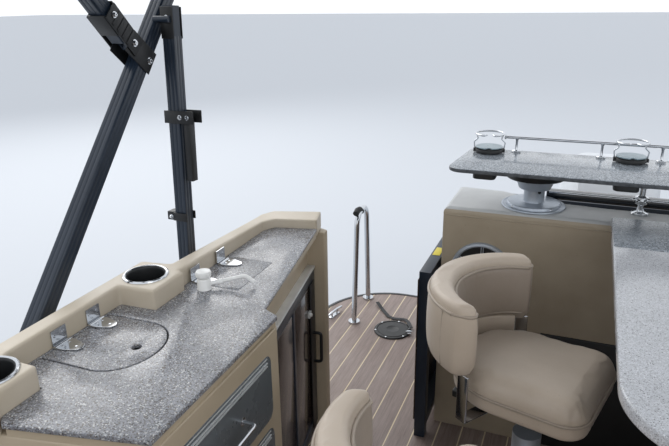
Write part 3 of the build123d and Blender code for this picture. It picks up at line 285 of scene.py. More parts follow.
counterTones = (
    (0.0, "34312f"), (0.09, "5e554c"), (0.2, "76757a"), (0.45, "888b92"), (0.74, "9a9da3"), (0.93, "d8d8d6"),
)
barTones = (
    (0.0, "3e4247"), (0.10, "6a7077"), (0.35, "8a9199"), (0.65, "a3abb3"), (0.88, "bac2ca"), (0.96, "d6dce2"),
)
tableTones = (
    (0.0, "6b6a6c"), (0.04, "a3a4a8"), (0.2, "b7b9be"), (0.5, "c3c6cc"), (0.8, "cdd0d5"), (0.95, "dfe1e4"),
)
finishes = {
    "planks": plankVinyl(),
    "counterStone": chipStone("counterStone", counterTones, 0.34, 430.0),
    "barStone": chipStone("barStone", barTones, 0.2, 420.0, 0.35),
    "tableStone": chipStone("tableStone", tableTones, 0.2, 560.0, 0.4),
    "sand": mottled("sandMoulding", "c9bead", "bcb09c", 0.42, grain=0.25, grainScale=500.0),
    # the same sand moulding, darker for the bodies' upright sides: its own sand colour with painted shade
    "sandShadedSide": mottled("sandShadedSide", "b9ab95", "ab9d86", 0.45, grain=0.25, grainScale=500.0),
    "hide": vinylHide("tanVinyl", "c4b6a6", "b7a897"),
    "piping": vinylHide("pipingVinyl", "ab9e8f", "9d9082"),
    "barEdge": mottled("barEdge", "3e4145", "5d6166", 0.6, scale=60.0),
    # a darker copy of the tan vinyl for the stool backs' inner faces: painted shade
    "hidePaintedShade": vinylHide("tanVinylPaintedShade", "a3968a", "96897b"),
    # a paler, bluer copy of the wall vinyl for the wall's top: painted reflection of the sky
    "wallTopSkyReflection": vinylHide("wallTopSkyReflection", "c3c5c6", "b4b6b6"),
    "paleYellow": mottled("paleYellow", "e0cf3a", "d2c02e", 0.5, scale=30.0),
    # a darker stone for the sheet on the table's far end: painted shadow of the bar top
    "tableShadowStone": chipStone("tableShadowStone", barTones, 0.3, 420.0, 0.6),
    "blackGloss": mottled("blackGloss", "10151c", "161c24", 0.12, scale=9.0, roughSpread=0.04),
    "brightTrim": mottled("brightTrim", "eceeee", "dfe1e1", 0.3, metal=0.35, scale=20.0, roughSpread=0.05),
    "greyDisc": mottled("greyDisc", "98aab2", "8799a2", 0.3, scale=20.0),
    "wallHide": vinylHide("wallVinyl", "ac9f8b", "9c8f7b"),
    "blackFrame": mottled("blackPowder", "1b2634", "222e3d", 0.32, scale=9.0, grain=0.12, grainScale=1400.0),
    "darkTrim": mottled("darkTrim", "23262b", "2b2e33", 0.38, scale=9.0, grain=0.1),
    "doorGloss": mottled("doorGloss", "3a3330", "443c38", 0.12, scale=4.0, roughSpread=0.04),
    "drawerGloss": mottled("drawerGloss", "747b80", "666d72", 0.26, metal=0.35, scale=5.0),
    "panelPaint": mottled("panelPaint", "4a3c35", "54453d", 0.25, metal=0.4, scale=3.0),
    "blackPlastic": mottled("blackPlastic", "141517", "1b1d1f", 0.45, scale=12.0, grain=0.2),
    "blackRubber": mottled("blackRubber", "101112", "18191a", 0.7, scale=12.0, grain=0.3),
    "whitePlastic": mottled("whitePlastic", "f4f4f2", "ebebe9", 0.3, scale=20.0),
    "stainless": brushedMetal("polishedSteel", "d5d8dc", 0.14, (30, 30, 30), 0.06),
    "castAlloy": mottled("castAlloy", "b6bec8", "a8b0ba", 0.36, metal=0.55, scale=20.0, grain=0.2, grainScale=700.0),
    "rawAlloy": brushedMetal("tubeAlloy", "b4b8bd", 0.34, (30, 0.6, 30)),
    "beamAlloy": brushedMetal("beamAlloy", "9ca0a4", 0.42, (0.8, 40, 40)),
    "canvas": wovenCloth("canopyCloth", "232a38", "2c3444"),
    "strap": wovenCloth("strapWebbing", "14161a", "1d2025", 1500.0),
    "motorWhite": mottled("motorWhite", "e3e6ea", "d8dce1", 0.2, scale=4.0, roughSpread=0.05),
    "motorGrey": mottled("motorGrey", "6b7077", "5f646b", 0.32, metal=0.3, scale=6.0),
    "acrylic": smokedAcrylic(),
}

finishNodes = {  # finish: the nodes that wear it
    "rawAlloy": "pontoons",
    "beamAlloy": "crossmembers ladder_rails",
    "planks": "deck",
    "darkTrim": "deck_trim",
    "blackFrame": "fence_sides fence_bow fence_stern bow_gate side_gate galley_door_frame bimini_main bimini_aux "
                  "bimini_struts",
    "panelPaint": "fence_panels",
    # the moulded bodies wear the darker sand: painted shade on their sides
    "sandShadedSide": "galley_body helm_console lounge_bases",
    "counterStone": "galley_counter galley_lid sink_lid",
    "sand": "galley_rim",
    "blackPlastic": "cup_liners speaker bar_cabinets chair_frame round_hatch",
    "drawerGloss": "drawer_upper drawer_lower",
    "doorGloss": "galley_door_fore galley_door_aft",
    "whitePlastic": "faucet",
    "wallHide": "bar_wall",
    "tableStone": "table_top",
    "barStone": "bar_top",
    "castAlloy": "bar_supports seat_pedestals engine_block",
    "stainless": "bar_rail stool_aft_frame stool_forward_frame ladder_handrail ladder propeller",
    "hide": "stool_aft_pads stool_forward_pads chair_pads lounge_pads sun_pad",
    "acrylic": "windscreen",
    "blackRubber": "steering_wheel",
    "canvas": "bimini_canvas",
    "motorGrey": "motor_bracket motor_swivel",
    "motorWhite": "motor_leg motor_cowl",
}
nodeFinish = {node: finish for finish, names in finishNodes.items() for node in names.split()}


def dressNodes():
    for name, finish in nodeFinish.items():
        data = nodes[name].data
        data.materials.clear()
        data.materials.append(finishes[finish])


# Making pieces

nodeBody = {name: body for body, names in frame["record"]["behaviour"]["bodies"].items() for name in names}


def addPiece(name, mesh, finish, body, smooth=True):
    # a finished mesh as an object at the origin, on its body
    piece = placed(name, mesh)
    mesh.materials.clear()
    mesh.materials.append(finishes[finish])
    if smooth:
        mesh.shade_smooth()
        mesh.set_sharp_from_angle(angle=math.radians(38))
    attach(piece, body)
    return piece


def baked(piece):
    # the piece's modifiers made into its mesh
    bpy.context.view_layer.update()
    graph = bpy.context.evaluated_depsgraph_get()
    mesh = bpy.data.meshes.new_from_object(piece.evaluated_get(graph))
    old = piece.data
    piece.modifiers.clear()
    piece.data = mesh
    bpy.data.meshes.remove(old)
    return mesh


def cleanCopy(node, name):
    # a CAD node's mesh with its loose triangles joined and flat faces merged
    mesh = nodes[node].data.copy()
    mesh.name = name
    if "custom_normal" in mesh.attributes:
        mesh.attributes.remove(mesh.attributes["custom_normal"])
    bm = bmesh.new()
    bm.from_mesh(mesh)
    bmesh.ops.remove_doubles(bm, verts=bm.verts, dist=0.00003)
    bmesh.ops.dissolve_limit(bm, angle_limit=math.radians(1.5), verts=bm.verts, edges=bm.edges)
    bm.to_mesh(mesh)
    bm.free()
    return mesh


def standIn(piece, node):
    # the piece wears the node's finish and is shown in its place
    piece.data.materials.clear()
    piece.data.materials.append(finishes[nodeFinish[node]])
    piece.data.shade_smooth()
    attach(piece, nodeBody[node])
    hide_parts(node)


def softened(node, width, segments=3, shift=None):
    # a node's copy with its sharp edges rounded, shown in the node's place; shift moves its points first
    mesh = cleanCopy(node, node + "Shape")
    if shift:
        for vert in mesh.vertices:
            vert.co = shift(vert.co)
    piece = placed(node + "Shape", mesh)
    rounding = piece.modifiers.new("edges", "BEVEL")
    rounding.width = width
    rounding.segments = segments
    rounding.limit_method = "ANGLE"
    rounding.angle_limit = math.radians(sharpAngle)
    baked(piece)
    standIn(piece, node)
    piece.data.set_sharp_from_angle(angle=math.radians(42))
    return piece


def at(x, y, h):
    # a place given in millimetres, height above the deck
    return Vector((x / 1000, y / 1000, deckTop + h / 1000))


def towards(turn):
    # the flat direction at an angle from starboard
    return Vector((math.cos(turn), math.sin(turn), 0))


def around(x, y, radius, turn, h):
    # a place on a circle about (x, y)
    return at(x, y, h) + towards(turn) * radius / 1000


def meshOf(bm, name):
    mesh = bpy.data.meshes.new(name)
    bmesh.ops.recalc_face_normals(bm, faces=bm.faces)
    bm.to_mesh(mesh)
    bm.free()
    return mesh


def addBox(bm, middle, size, turn=0.0, axes=None):
    # size in millimetres; axes are three unit vectors, or a turn about z in degrees
    frameOf = axes or [Matrix.Rotation(math.radians(turn), 3, "Z") @ axis for axis in (xAxis, yAxis, zAxis)]
    for vert in bmesh.ops.create_cube(bm, size=1.0)["verts"]:
        local = vert.co.copy()
        vert.co = Vector(middle) + sum((frameOf[i] * local[i] * size[i] / 1000 for i in range(3)), Vector())


def sideways(axis):
    # two unit vectors square to an axis
    axis = axis.normalized()
    first = axis.cross(zAxis if abs(axis.z) < 0.9 else xAxis).normalized()
    return first, axis.cross(first).normalized()


def addLathe(bm, base, axis, rows, steps=32, hollow=False):
    # a turned shape: rows of (radius, distance along the axis) in millimetres
    ring = rows[0] == rows[-1]
    rows = rows[:-1] if ring else rows
    axis = Vector(axis).normalized()
    first, second = sideways(axis)
    rings = []
    for radius, along in rows:
        middle = Vector(base) + axis * along / 1000
        if radius <= 0.001:
            # a pole has its own point besides its ring
            rings.append([bm.verts.new(middle)])
        spots = []
        for step in range(steps):
            turn = 2 * math.pi * step / steps
            spots.append(bm.verts.new(middle + (first * math.cos(turn) + second * math.sin(turn)) * radius / 1000))
        rings.append(spots)
    pairs = list(zip(rings, rings[1:])) + ([(rings[-1], rings[0])] if ring else [])
    for low, high in pairs:
        for step in range(steps):
            after = (step + 1) % steps
            corners = [low[step % len(low)], low[after % len(low)], high[after % len(high)], high[step % len(high)]]
            corners = [vert for index, vert in enumerate(corners) if vert not in corners[:index]]
            if len(corners) > 2:
                bm.faces.new(corners)
    for end in (() if ring or hollow else (rings[0], rings[-1])):
        if len(end) > 2:
            bm.faces.new(end)


def bentPath(corners, radius, steps=8):
    # a polyline with its corners rounded
    path = [Vector(corners[0])]
    for before, here, after in zip(corners, corners[1:], corners[2:]):
        here = Vector(here)
        inward = (Vector(before) - here).normalized()
        onward = (Vector(after) - here).normalized()
        half = inward.angle(onward) / 2
        longest = min((Vector(before) - here).length, (Vector(after) - here).length) / 2
        reach = min(radius / 1000 / math.tan(half), longest)
        for step in range(steps + 1):
            share = step / steps
            first = here + inward * reach * (1 - share)
            second = here + onward * reach * share
            path.append(first.lerp(second, share))
    path.append(Vector(corners[-1]))
    return path


def addTube(bm, path, radius, steps=12, closed=False, section=None):
    # a round tube, or a drawn section of (side, up) in millimetres, along a path
    path = [Vector(p) for p in path]
    count = len(path)
    shape = section or [
        (radius * math.cos(2 * math.pi * i / steps), radius * math.sin(2 * math.pi * i / steps)) for i in range(steps)
    ]
    rings = []
    side = None
    for index, here in enumerate(path):
        before = path[index - 1] if index or closed else here
        after = path[(index + 1) % count] if index < count - 1 or closed else here
        run = (after - before).normalized()
        if side is None:
            side = sideways(run)[0]
        side = (side - run * side.dot(run)).normalized()
        up = run.cross(side).normalized()
        rings.append([bm.verts.new(here + (side * a + up * b) / 1000) for a, b in shape])
    pairs = list(zip(rings, rings[1:])) + ([(rings[-1], rings[0])] if closed else [])
    for low, high in pairs:
        for step in range(len(shape)):
            after = (step + 1) % len(shape)
            bm.faces.new((low[step], low[after], high[after], high[step]))
    if not closed:
        bm.faces.new(rings[0])
        bm.faces.new(rings[-1])


def stacked(bm, rings):
    # a closed skin over rings of equally many points
    rows = [[bm.verts.new(point) for point in ring] for ring in rings]
    for low, high in zip(rows, rows[1:]):
        for step in range(len(low)):
            after = (step + 1) % len(low)
            bm.faces.new((low[step], low[after], high[after], high[step]))
    bm.faces.new(rows[0])
    bm.faces.new(rows[-1])


def rounded(mesh, width, segments=2, angle=sharpAngle):
    # the mesh's sharp edges rounded
    holder = placed("rounding", mesh)
    edges = holder.modifiers.new("edges", "BEVEL")
    edges.width = width / 1000
    edges.segments = segments
    edges.limit_method = "ANGLE"
    edges.angle_limit = math.radians(angle)
    mesh = baked(holder)
    bpy.data.objects.remove(holder)
    return mesh


def built(name, bm, finish, body, ease=0, segments=2, angle=sharpAngle, smooth=True, node=None):
    # a piece from a bmesh, with its edges eased and shown for a node if wanted
    mesh = rounded(meshOf(bm, name), ease, segments, angle) if ease else meshOf(bm, name)
    piece = addPiece(name, mesh, finish, body, smooth)
    if node:
        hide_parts(node)
    return piece


def addGrid(piece, voxel):
    # the shape remeshed evenly, voxel in millimetres
    grid = piece.modifiers.new("grid", "REMESH")
    grid.mode = "VOXEL"
    grid.voxel_size = voxel / 1000


def moulded(node, voxel, passes):
    # a node's copy remeshed and relaxed, so that its edges are as round as a moulding's
    piece = placed(node + "Moulded", cleanCopy(node, node + "Moulded"))
    addGrid(piece, voxel)
    relax = piece.modifiers.new("relax", "SMOOTH")
    relax.factor = 0.5
    relax.iterations = passes
    baked(piece)
    standIn(piece, node)
    return piece


def secondFinish(piece, finish, isOther):
    # another finish on the faces that the test picks
    piece.data.materials.append(finishes[finish])
    for face in piece.data.polygons:
        if isOther(face.center, face.normal):
            face.material_index = len(piece.data.materials) - 1


def swollen(mesh, voxel, cap, pressure=4.0, held=None):
    # vinyl stretched over foam: the shape blown up a little as cloth, so that it puckers at its seams
    trial = placed("swelling", mesh.copy())
    addGrid(trial, voxel)
    start = baked(trial)
    before = [vert.co.copy() for vert in start.vertices]
    if held:
        pins = trial.vertex_groups.new(name="pins")
        for index, point in enumerate(before):
            if held(point):
                pins.add([index], 1.0, "REPLACE")
    cloth = trial.modifiers.new("cloth", "CLOTH")
    settings = cloth.settings
    settings.quality = 4
    settings.mass = 0.4
    settings.tension_stiffness = 18
    settings.compression_stiffness = 18
    settings.shear_stiffness = 6
    settings.bending_stiffness = 0.6
    settings.shrink_min = -0.025
    settings.use_pressure = True
    settings.uniform_pressure_force = pressure
    settings.effector_weights.gravity = 0.0
    if held:
        settings.vertex_group_mass = "pins"
    cloth.collision_settings.use_collision = False
    cloth.point_cache.frame_start = 1
    cloth.point_cache.frame_end = 20
    for step in range(1, 21):
        bpy.context.scene.frame_set(step)
    after = baked(trial)
    bpy.context.scene.frame_set(1)
    for vert, point in zip(after.vertices, before):
        move = vert.co - point
        if move.length > cap / 1000:
            move = move.normalized() * cap / 1000
        vert.co = point + move
    result = after
    if voxel < 7:
        finer = trial.modifiers.new("finer", "SUBSURF")
        finer.levels = 1
        finer.render_levels = 1
        result = baked(trial)
    bpy.data.objects.remove(trial)
    return result


softEdges = {  # node: how far its edges are rounded, in metres
    "galley_body": 0.008,
    "bar_cabinets": 0.006, "table_top": 0.005, "helm_console": 0.006, "lounge_bases": 0.01,
    "galley_door_fore": 0.002, "galley_door_aft": 0.002,
    "fence_sides": 0.003, "fence_bow": 0.003, "fence_stern": 0.003, "bow_gate": 0.003, "side_gate": 0.003,
    "galley_door_frame": 0.002, "chair_frame": 0.004, "motor_bracket": 0.004,
}


def soften():
    for node, width in softEdges.items():
        softened(node, width)


# Stools: crowned seats with a welt, and padded backs that wrap round them on two polished posts

stool = {
    "front": 209, "half": 162.5, "corner": 58, "rearShift": 2.4,
    "inner": (-4.2, 175), "outer": (31.7, 209), "spread": 71,
    "seat": ((16, 545), (5, 547), (0, 554), (0, 584), (3.5, 587), (3.5, 591), (0, 594), (1, 604), (6, 616), (15, 627),
             (28, 635), (46, 640)),
    "crown": ((0.82, 642.5), (0.6, 644.5), (0.35, 645.5), (0.1, 646)), "crownInset": 52,
    "back": (642, 830), "tuckH": 668, "paintedShadeH": 805,
    "posts": (69.8, 202), "postWidth": 34,
}
stoolCloth = {"voxel": 6.0, "seatPuff": 2.2, "seatHeldH": 592, "backPuff": 1.4, "backPressure": 3.0}
stoolLines = {  # piping and seams: heights above the deck, radii, and angles either side of the back's middle
    "weltH": 589, "welt": 4.0, "pipingH": 806, "piping": 4.2, "pipingEnd": 70, "endBulge": 7.2,
    "lowSeam": 2.6, "lowSeamEnd": 68, "sideSeam": 1.8, "sideSeamEnd": 61, "sideSeamH": (655, 800),
}
stoolApron = {
    "from": -64, "to": 28, "share": 0.16, "h": 622,
    "section": [(-7, -34), (7, -34), (9, -30), (9, 30), (7, 34), (-7, 34), (-9, 30), (-9, -30)],
}
stoolRows = (  # body, pads, frame, place of the seat's middle, turn of its back from starboard, piece name
    ("stool_aft", "stool_aft_pads", "stool_aft_frame", (238.5, -2510), -15, "aftStool"),
    ("stool_forward", "stool_forward_pads", "stool_forward_frame", (291, -1905), 54, "foreStool"),
)


def seatOutline(steps=26):
    # the seat's plan: round behind, with two rounded corners in front
    half, corner, front = stool["half"], stool["corner"], stool["front"]
    points = []
    for step in range(steps + 1):
        turn = math.radians(-90 + 180 * step / steps)
        points.append((stool["rearShift"] + half * math.cos(turn), half * math.sin(turn)))
    for side in range(4):
        share = (side + 1) / 5
        points.append((stool["rearShift"] + (corner - front - stool["rearShift"]) * share, half))
    for first, middle in ((90, half - corner), (180, corner - half)):
        for step in range(10):
            turn = math.radians(first + 90 * step / 9)
            points.append((corner - front + corner * math.cos(turn), middle + corner * math.sin(turn)))
        if first == 90:
            points += [(-front, (half - corner) * (1 - share)) for share in (0.5, 1.0, 1.5)]
    for side in range(4):
        share = (side + 1) / 5
        points.append((corner - front + (stool["rearShift"] - corner + front) * share, -half))
    return points


def inset(points, distance):
    # a plan moved inwards
    moved = []
    for index, (x, y) in enumerate(points):
        (bx, by), (ax, ay) = points[index - 1], points[(index + 1) % len(points)]
        run = Vector((ax - bx, ay - by)).normalized()
        moved.append((x - run.y * distance, y + run.x * distance))
    return moved


def backPoint(angle, share, shrink=1.0):
    # a plan point of the back between its inner (0) and outer (1) faces
    turn = math.radians(angle)
    near = Vector((stool["inner"][0] + stool["inner"][1] * math.cos(turn), stool["inner"][1] * math.sin(turn)))
    far = Vector((stool["outer"][0] + stool["outer"][1] * math.cos(turn), stool["outer"][1] * math.sin(turn)))
    return near.lerp(far, 0.5 + (share - 0.5) * shrink)


def backSection(steps=44):
    # (across, up) of the back's section, both from -1 to 1, with square shoulders
    rows = []
    for step in range(steps):
        turn = 2 * math.pi * step / steps
        c, s = math.cos(turn), math.sin(turn)
        rows.append((math.copysign(abs(c) ** 0.38, c), math.copysign(abs(s) ** 0.38, s)))
    return rows


def addStools():
    outline = seatOutline()
    low, high = stool["back"]
    for body, pads, posts, (px, py), turn, name in stoolRows:
        rotate = Matrix.Rotation(math.radians(turn), 2)

        def place(point, h):
            x, y = rotate @ Vector(point)
            return at(px + x, py + y, h)

        def backArc(first, last, share, h, steps):
            # a line along the back
            return [place(backPoint(first + (last - first) * step / steps, share), h) for step in range(steps + 1)]

        bm = bmesh.new()
        rings = [[place(p, h) for p in inset(outline, distance)] for distance, h in stool["seat"]]
        inner = inset(outline, stool["crownInset"])
        rings += [[place((x * share, y * share), h) for x, y in inner] for share, h in stool["crown"]]
        stacked(bm, rings)
        heldZ = deckTop + stoolCloth["seatHeldH"] / 1000
        seat = swollen(
            meshOf(bm, name + "Seat"), stoolCloth["voxel"], stoolCloth["seatPuff"], held=lambda p: p.z < heldZ
        )
        piece = addPiece(name + "Seat", seat, "hide", body)
        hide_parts(pads)

        bm = bmesh.new()
        middle, half = (low + high) / 2, (high - low) / 2
        spread = stool["spread"]
        ends = [(-spread - 6.5 * math.sin(math.radians(a)), math.cos(math.radians(a))) for a in (84, 66, 45, 22)]
        spans = [(-spread + 2 * spread * step / 48, 1.0) for step in range(49)]
        spans = ends + spans + [(-angle, shrink) for angle, shrink in reversed(ends)]
        rings = []
        for angle, shrink in spans:
            ring = []
            for across, up in backSection():
                h = middle + up * half * (0.4 + 0.6 * shrink)
                if across < 0 and h < stool["tuckH"]:
                    across *= 0.82
                groove = 0.10 * math.exp(-(((h - stoolLines["pipingH"]) / 6) ** 2))
                bulge = 1.0 + 0.10 * max(0.0, 1 - ((h - middle + 12) / 80) ** 2) - groove
                spot = backPoint(angle, 0.5 + 0.5 * across * bulge, shrink)
                ring.append(place(spot, h + (3.0 * (1 - across * across) if up > 0.5 else 0)))
            rings.append(ring)
        stacked(bm, rings)
        back = swollen(
            meshOf(bm, name + "Back"), stoolCloth["voxel"], stoolCloth["backPuff"], stoolCloth["backPressure"]
        )
        piece = addPiece(name + "Back", back, "hide", body)
        centre, paintedShadeZ = at(px, py, 0), deckTop + stool["paintedShadeH"] / 1000
        # the back's inner faces below the piping wear the darker vinyl: painted shade
        secondFinish(piece, "hidePaintedShade", lambda c, n: (c - centre).xy.dot(n.xy) < -0.05 and c.z < paintedShadeZ)

        bm = bmesh.new()
        lines = stoolLines
        addTube(bm, [place(p, lines["weltH"]) for p in inset(outline, -1.5)], lines["welt"], 10, closed=True)
        side, h = lines["pipingEnd"], lines["pipingH"]
        for share in (-0.01, 1.01):
            addTube(bm, backArc(-side, side, share, h, 60), lines["piping"], 10)
        for end in (-1, 1):
            path = []
            for step in range(13):
                angle = end * (side + lines["endBulge"] * math.sin(math.pi * step / 12))
                path.append(place(backPoint(angle, step / 12), h))
            addTube(bm, path, lines["piping"], 10)
        side = lines["lowSeamEnd"]
        addTube(bm, backArc(-side, side, 0.02, stool["tuckH"], 50), lines["lowSeam"], 8)
        first, last = lines["sideSeamH"]
        for end in (-lines["sideSeamEnd"], lines["sideSeamEnd"]):
            path = []
            for step in range(11):
                share = 1.045 - 0.03 * abs(step - 5) / 5
                path.append(place(backPoint(end, share), first + (last - first) * step / 10))
            addTube(bm, path, lines["sideSeam"], 8)
        built(name + "Piping", bm, "piping", body)
        bm = bmesh.new()
        apron = stoolApron
        path = backArc(apron["from"], apron["to"], apron["share"], apron["h"], 40)
        addTube(bm, path, 0, section=apron["section"])
        built(name + "Apron", bm, "hide", body, 1.5, 2)

        bm = bmesh.new()
        angle, reach = stool["posts"]
        wide = stool["postWidth"]
        for side in (-1, 1):
            out = towards(math.radians(turn + side * angle))
            axes = (out, Vector((-out.y, out.x, 0)), zAxis)
            addBox(bm, at(px, py, 522) + out * (reach + 60) / 2000, (reach - 60, wide, 6), axes=axes)
            addBox(bm, at(px, py, 584) + out * (reach - 3) / 1000, (6, wide, 130), axes=axes)
        built(name + "Posts", bm, "stainless", body, 2.0, 3, node=posts)

        bm = bmesh.new()
        addBox(bm, at(px, py, 534), (260, 230, 20), turn)
        addBox(bm, at(px, py, 523), (190, 170, 7), turn)
        built(name + "Plate", bm, "blackPlastic", body, 4.0, 3)


# Plates cut from a drawing: outlines in millimetres on a plane, with eased edges

def roundedBox(width, height, corner, middle=(0, 0), steps=7):
    # a rectangle's outline with round corners
    points = []
    for index, (sx, sy) in enumerate(((1, 1), (-1, 1), (-1, -1), (1, -1))):
        for step in range(steps + 1):
            turn = math.radians(90 * index + 90 * step / steps)
            x = middle[0] + sx * (width / 2 - corner) + corner * math.cos(turn)
            points.append((x, middle[1] + sy * (height / 2 - corner) + corner * math.sin(turn)))
    return points


def plateMesh(name, outlines, thickness, ease, origin, across=xAxis, up=yAxis):
    # lies flat unless it is given the plane's two directions
    curve = bpy.data.curves.new(name, "CURVE")
    curve.dimensions = "2D"
    curve.fill_mode = "BOTH"
    curve.extrude = (thickness / 2 - ease) / 1000
    curve.bevel_depth = ease / 1000
    curve.bevel_resolution = 2
    for outline in outlines:
        spline = curve.splines.new("POLY")
        spline.points.add(len(outline) - 1)
        for point, (x, y) in zip(spline.points, outline):
            point.co = (x / 1000, y / 1000, 0, 1)
        spline.use_cyclic_u = True
    holder = placed(name, curve)
    bpy.context.view_layer.update()
    mesh = bpy.data.meshes.new_from_object(holder.evaluated_get(bpy.context.evaluated_depsgraph_get()))
    bpy.data.objects.remove(holder)
    bpy.data.curves.remove(curve)
    turned = Matrix((across, up, across.cross(up))).transposed()
    mesh.transform(Matrix.Translation(origin) @ turned.to_4x4())
    mesh.name = name
    return mesh


def joined(name, meshes, bm=None):
    # several meshes and a bmesh as one mesh
    whole = bm or bmesh.new()
    for mesh in meshes:
        whole.from_mesh(mesh)
        bpy.data.meshes.remove(mesh)
    mesh = bpy.data.meshes.new(name)
    whole.to_mesh(mesh)
    whole.free()
    return mesh


# Galley: thin stone top on its body, lids with hinges, drawers, doors, faucet and cup holders

galley = {
    "stoneLow": 788.5, "lidHinge": 1155, "lidScale": 0.835, "lidMiddle": -1965, "lidShift": -8,
    "lidCentre": (1050, -1973), "lidEased": 0.982, "lidLow": 791.5, "finger": (995, -1975, 26),
    "front": 769.7, "drawers": (("drawer_upper", "upperDrawer", 556, 727), ("drawer_lower", "lowerDrawer", 330, 529)),
    "frameY": (-2196, -1748), "pull": (-2020, -1898, 32),
    "groove": (236, 218, 80, (1043, -1973)), "grooveH": 790, "rimTop": 851,
    "hinges": ((1158, -1929, 1), (1158, -2034, 1), (1064, -2318, 0), (1064, -2446, 0)),
    "cups": ((1137, -1732), (1140, -2206)),
    "faucet": (1016, -2276), "spout": ((1016, -2276, 812), (962, -2318, 818), (925, -2331, 828), (902, -2334, 812)),
    "doorStart": (869, -2352), "doorEnd": (950.5, -2830),
}


drawer = {"y": -1965, "front": 388, "window": 396, "corner": 24, "tray": (222, 344, 8)}


def lidShift(point):
    # the D-lid and its hole as the photo shows them, a little smaller and further aft
    x, y = point.x * 1000, point.y * 1000
    fx, fy, reach = galley["finger"]
    if 880 < x < 1160 and -2085 < y < -1850 and math.hypot(x - fx, y - fy) > reach:
        x = galley["lidHinge"] + (x - galley["lidHinge"]) * galley["lidScale"]
        y = galley["lidMiddle"] + galley["lidShift"] + (y - galley["lidMiddle"]) * 1.02
    return Vector((x / 1000, y / 1000, point.z))


def stoneShift(point):
    point = lidShift(point)
    if point.z < deckTop + 0.785:
        point.z = deckTop + galley["stoneLow"] / 1000
    return point


def lidEase(point):
    # the lid a touch smaller than its hole, so that its groove shows
    point = stoneShift(point)
    x, y = point.x * 1000, point.y * 1000
    fx, fy, reach = galley["finger"]
    if math.hypot(x - fx, y - fy) > reach:
        cx, cy = galley["lidCentre"]
        x = cx + (x - cx) * galley["lidEased"]
        y = cy + (y - cy) * galley["lidEased"]
    return Vector((x / 1000, y / 1000, max(point.z, deckTop + galley["lidLow"] / 1000)))


rimSink = {"h": 800, "y": -2300, "run": 450, "share": 0.42}


def addRim():
    # the galley's rim, which sinks towards its stern end
    for vert in moulded("galley_rim", 4.0, 12).data.vertices:
        proud = vert.co.z - deckTop - rimSink["h"] / 1000
        aft = rimSink["y"] / 1000 - vert.co.y
        if proud > 0 and aft > 0:
            vert.co.z -= proud * rimSink["share"] * min(1.0, aft / (rimSink["run"] / 1000))


def doorSpot(along, out, h):
    # a place in the plane of the aft doors: along them, out of them towards the aisle, height above the deck
    start, end = Vector(galley["doorStart"]), Vector(galley["doorEnd"])
    run = (end - start).normalized()
    spot = start + run * along + Vector((run.y, -run.x)) * out
    return at(spot.x, spot.y, h)


def doorAxes():
    run = (Vector(galley["doorEnd"]) - Vector(galley["doorStart"])).normalized()
    return [Vector((run.x, run.y, 0)), Vector((run.y, -run.x, 0)), zAxis]


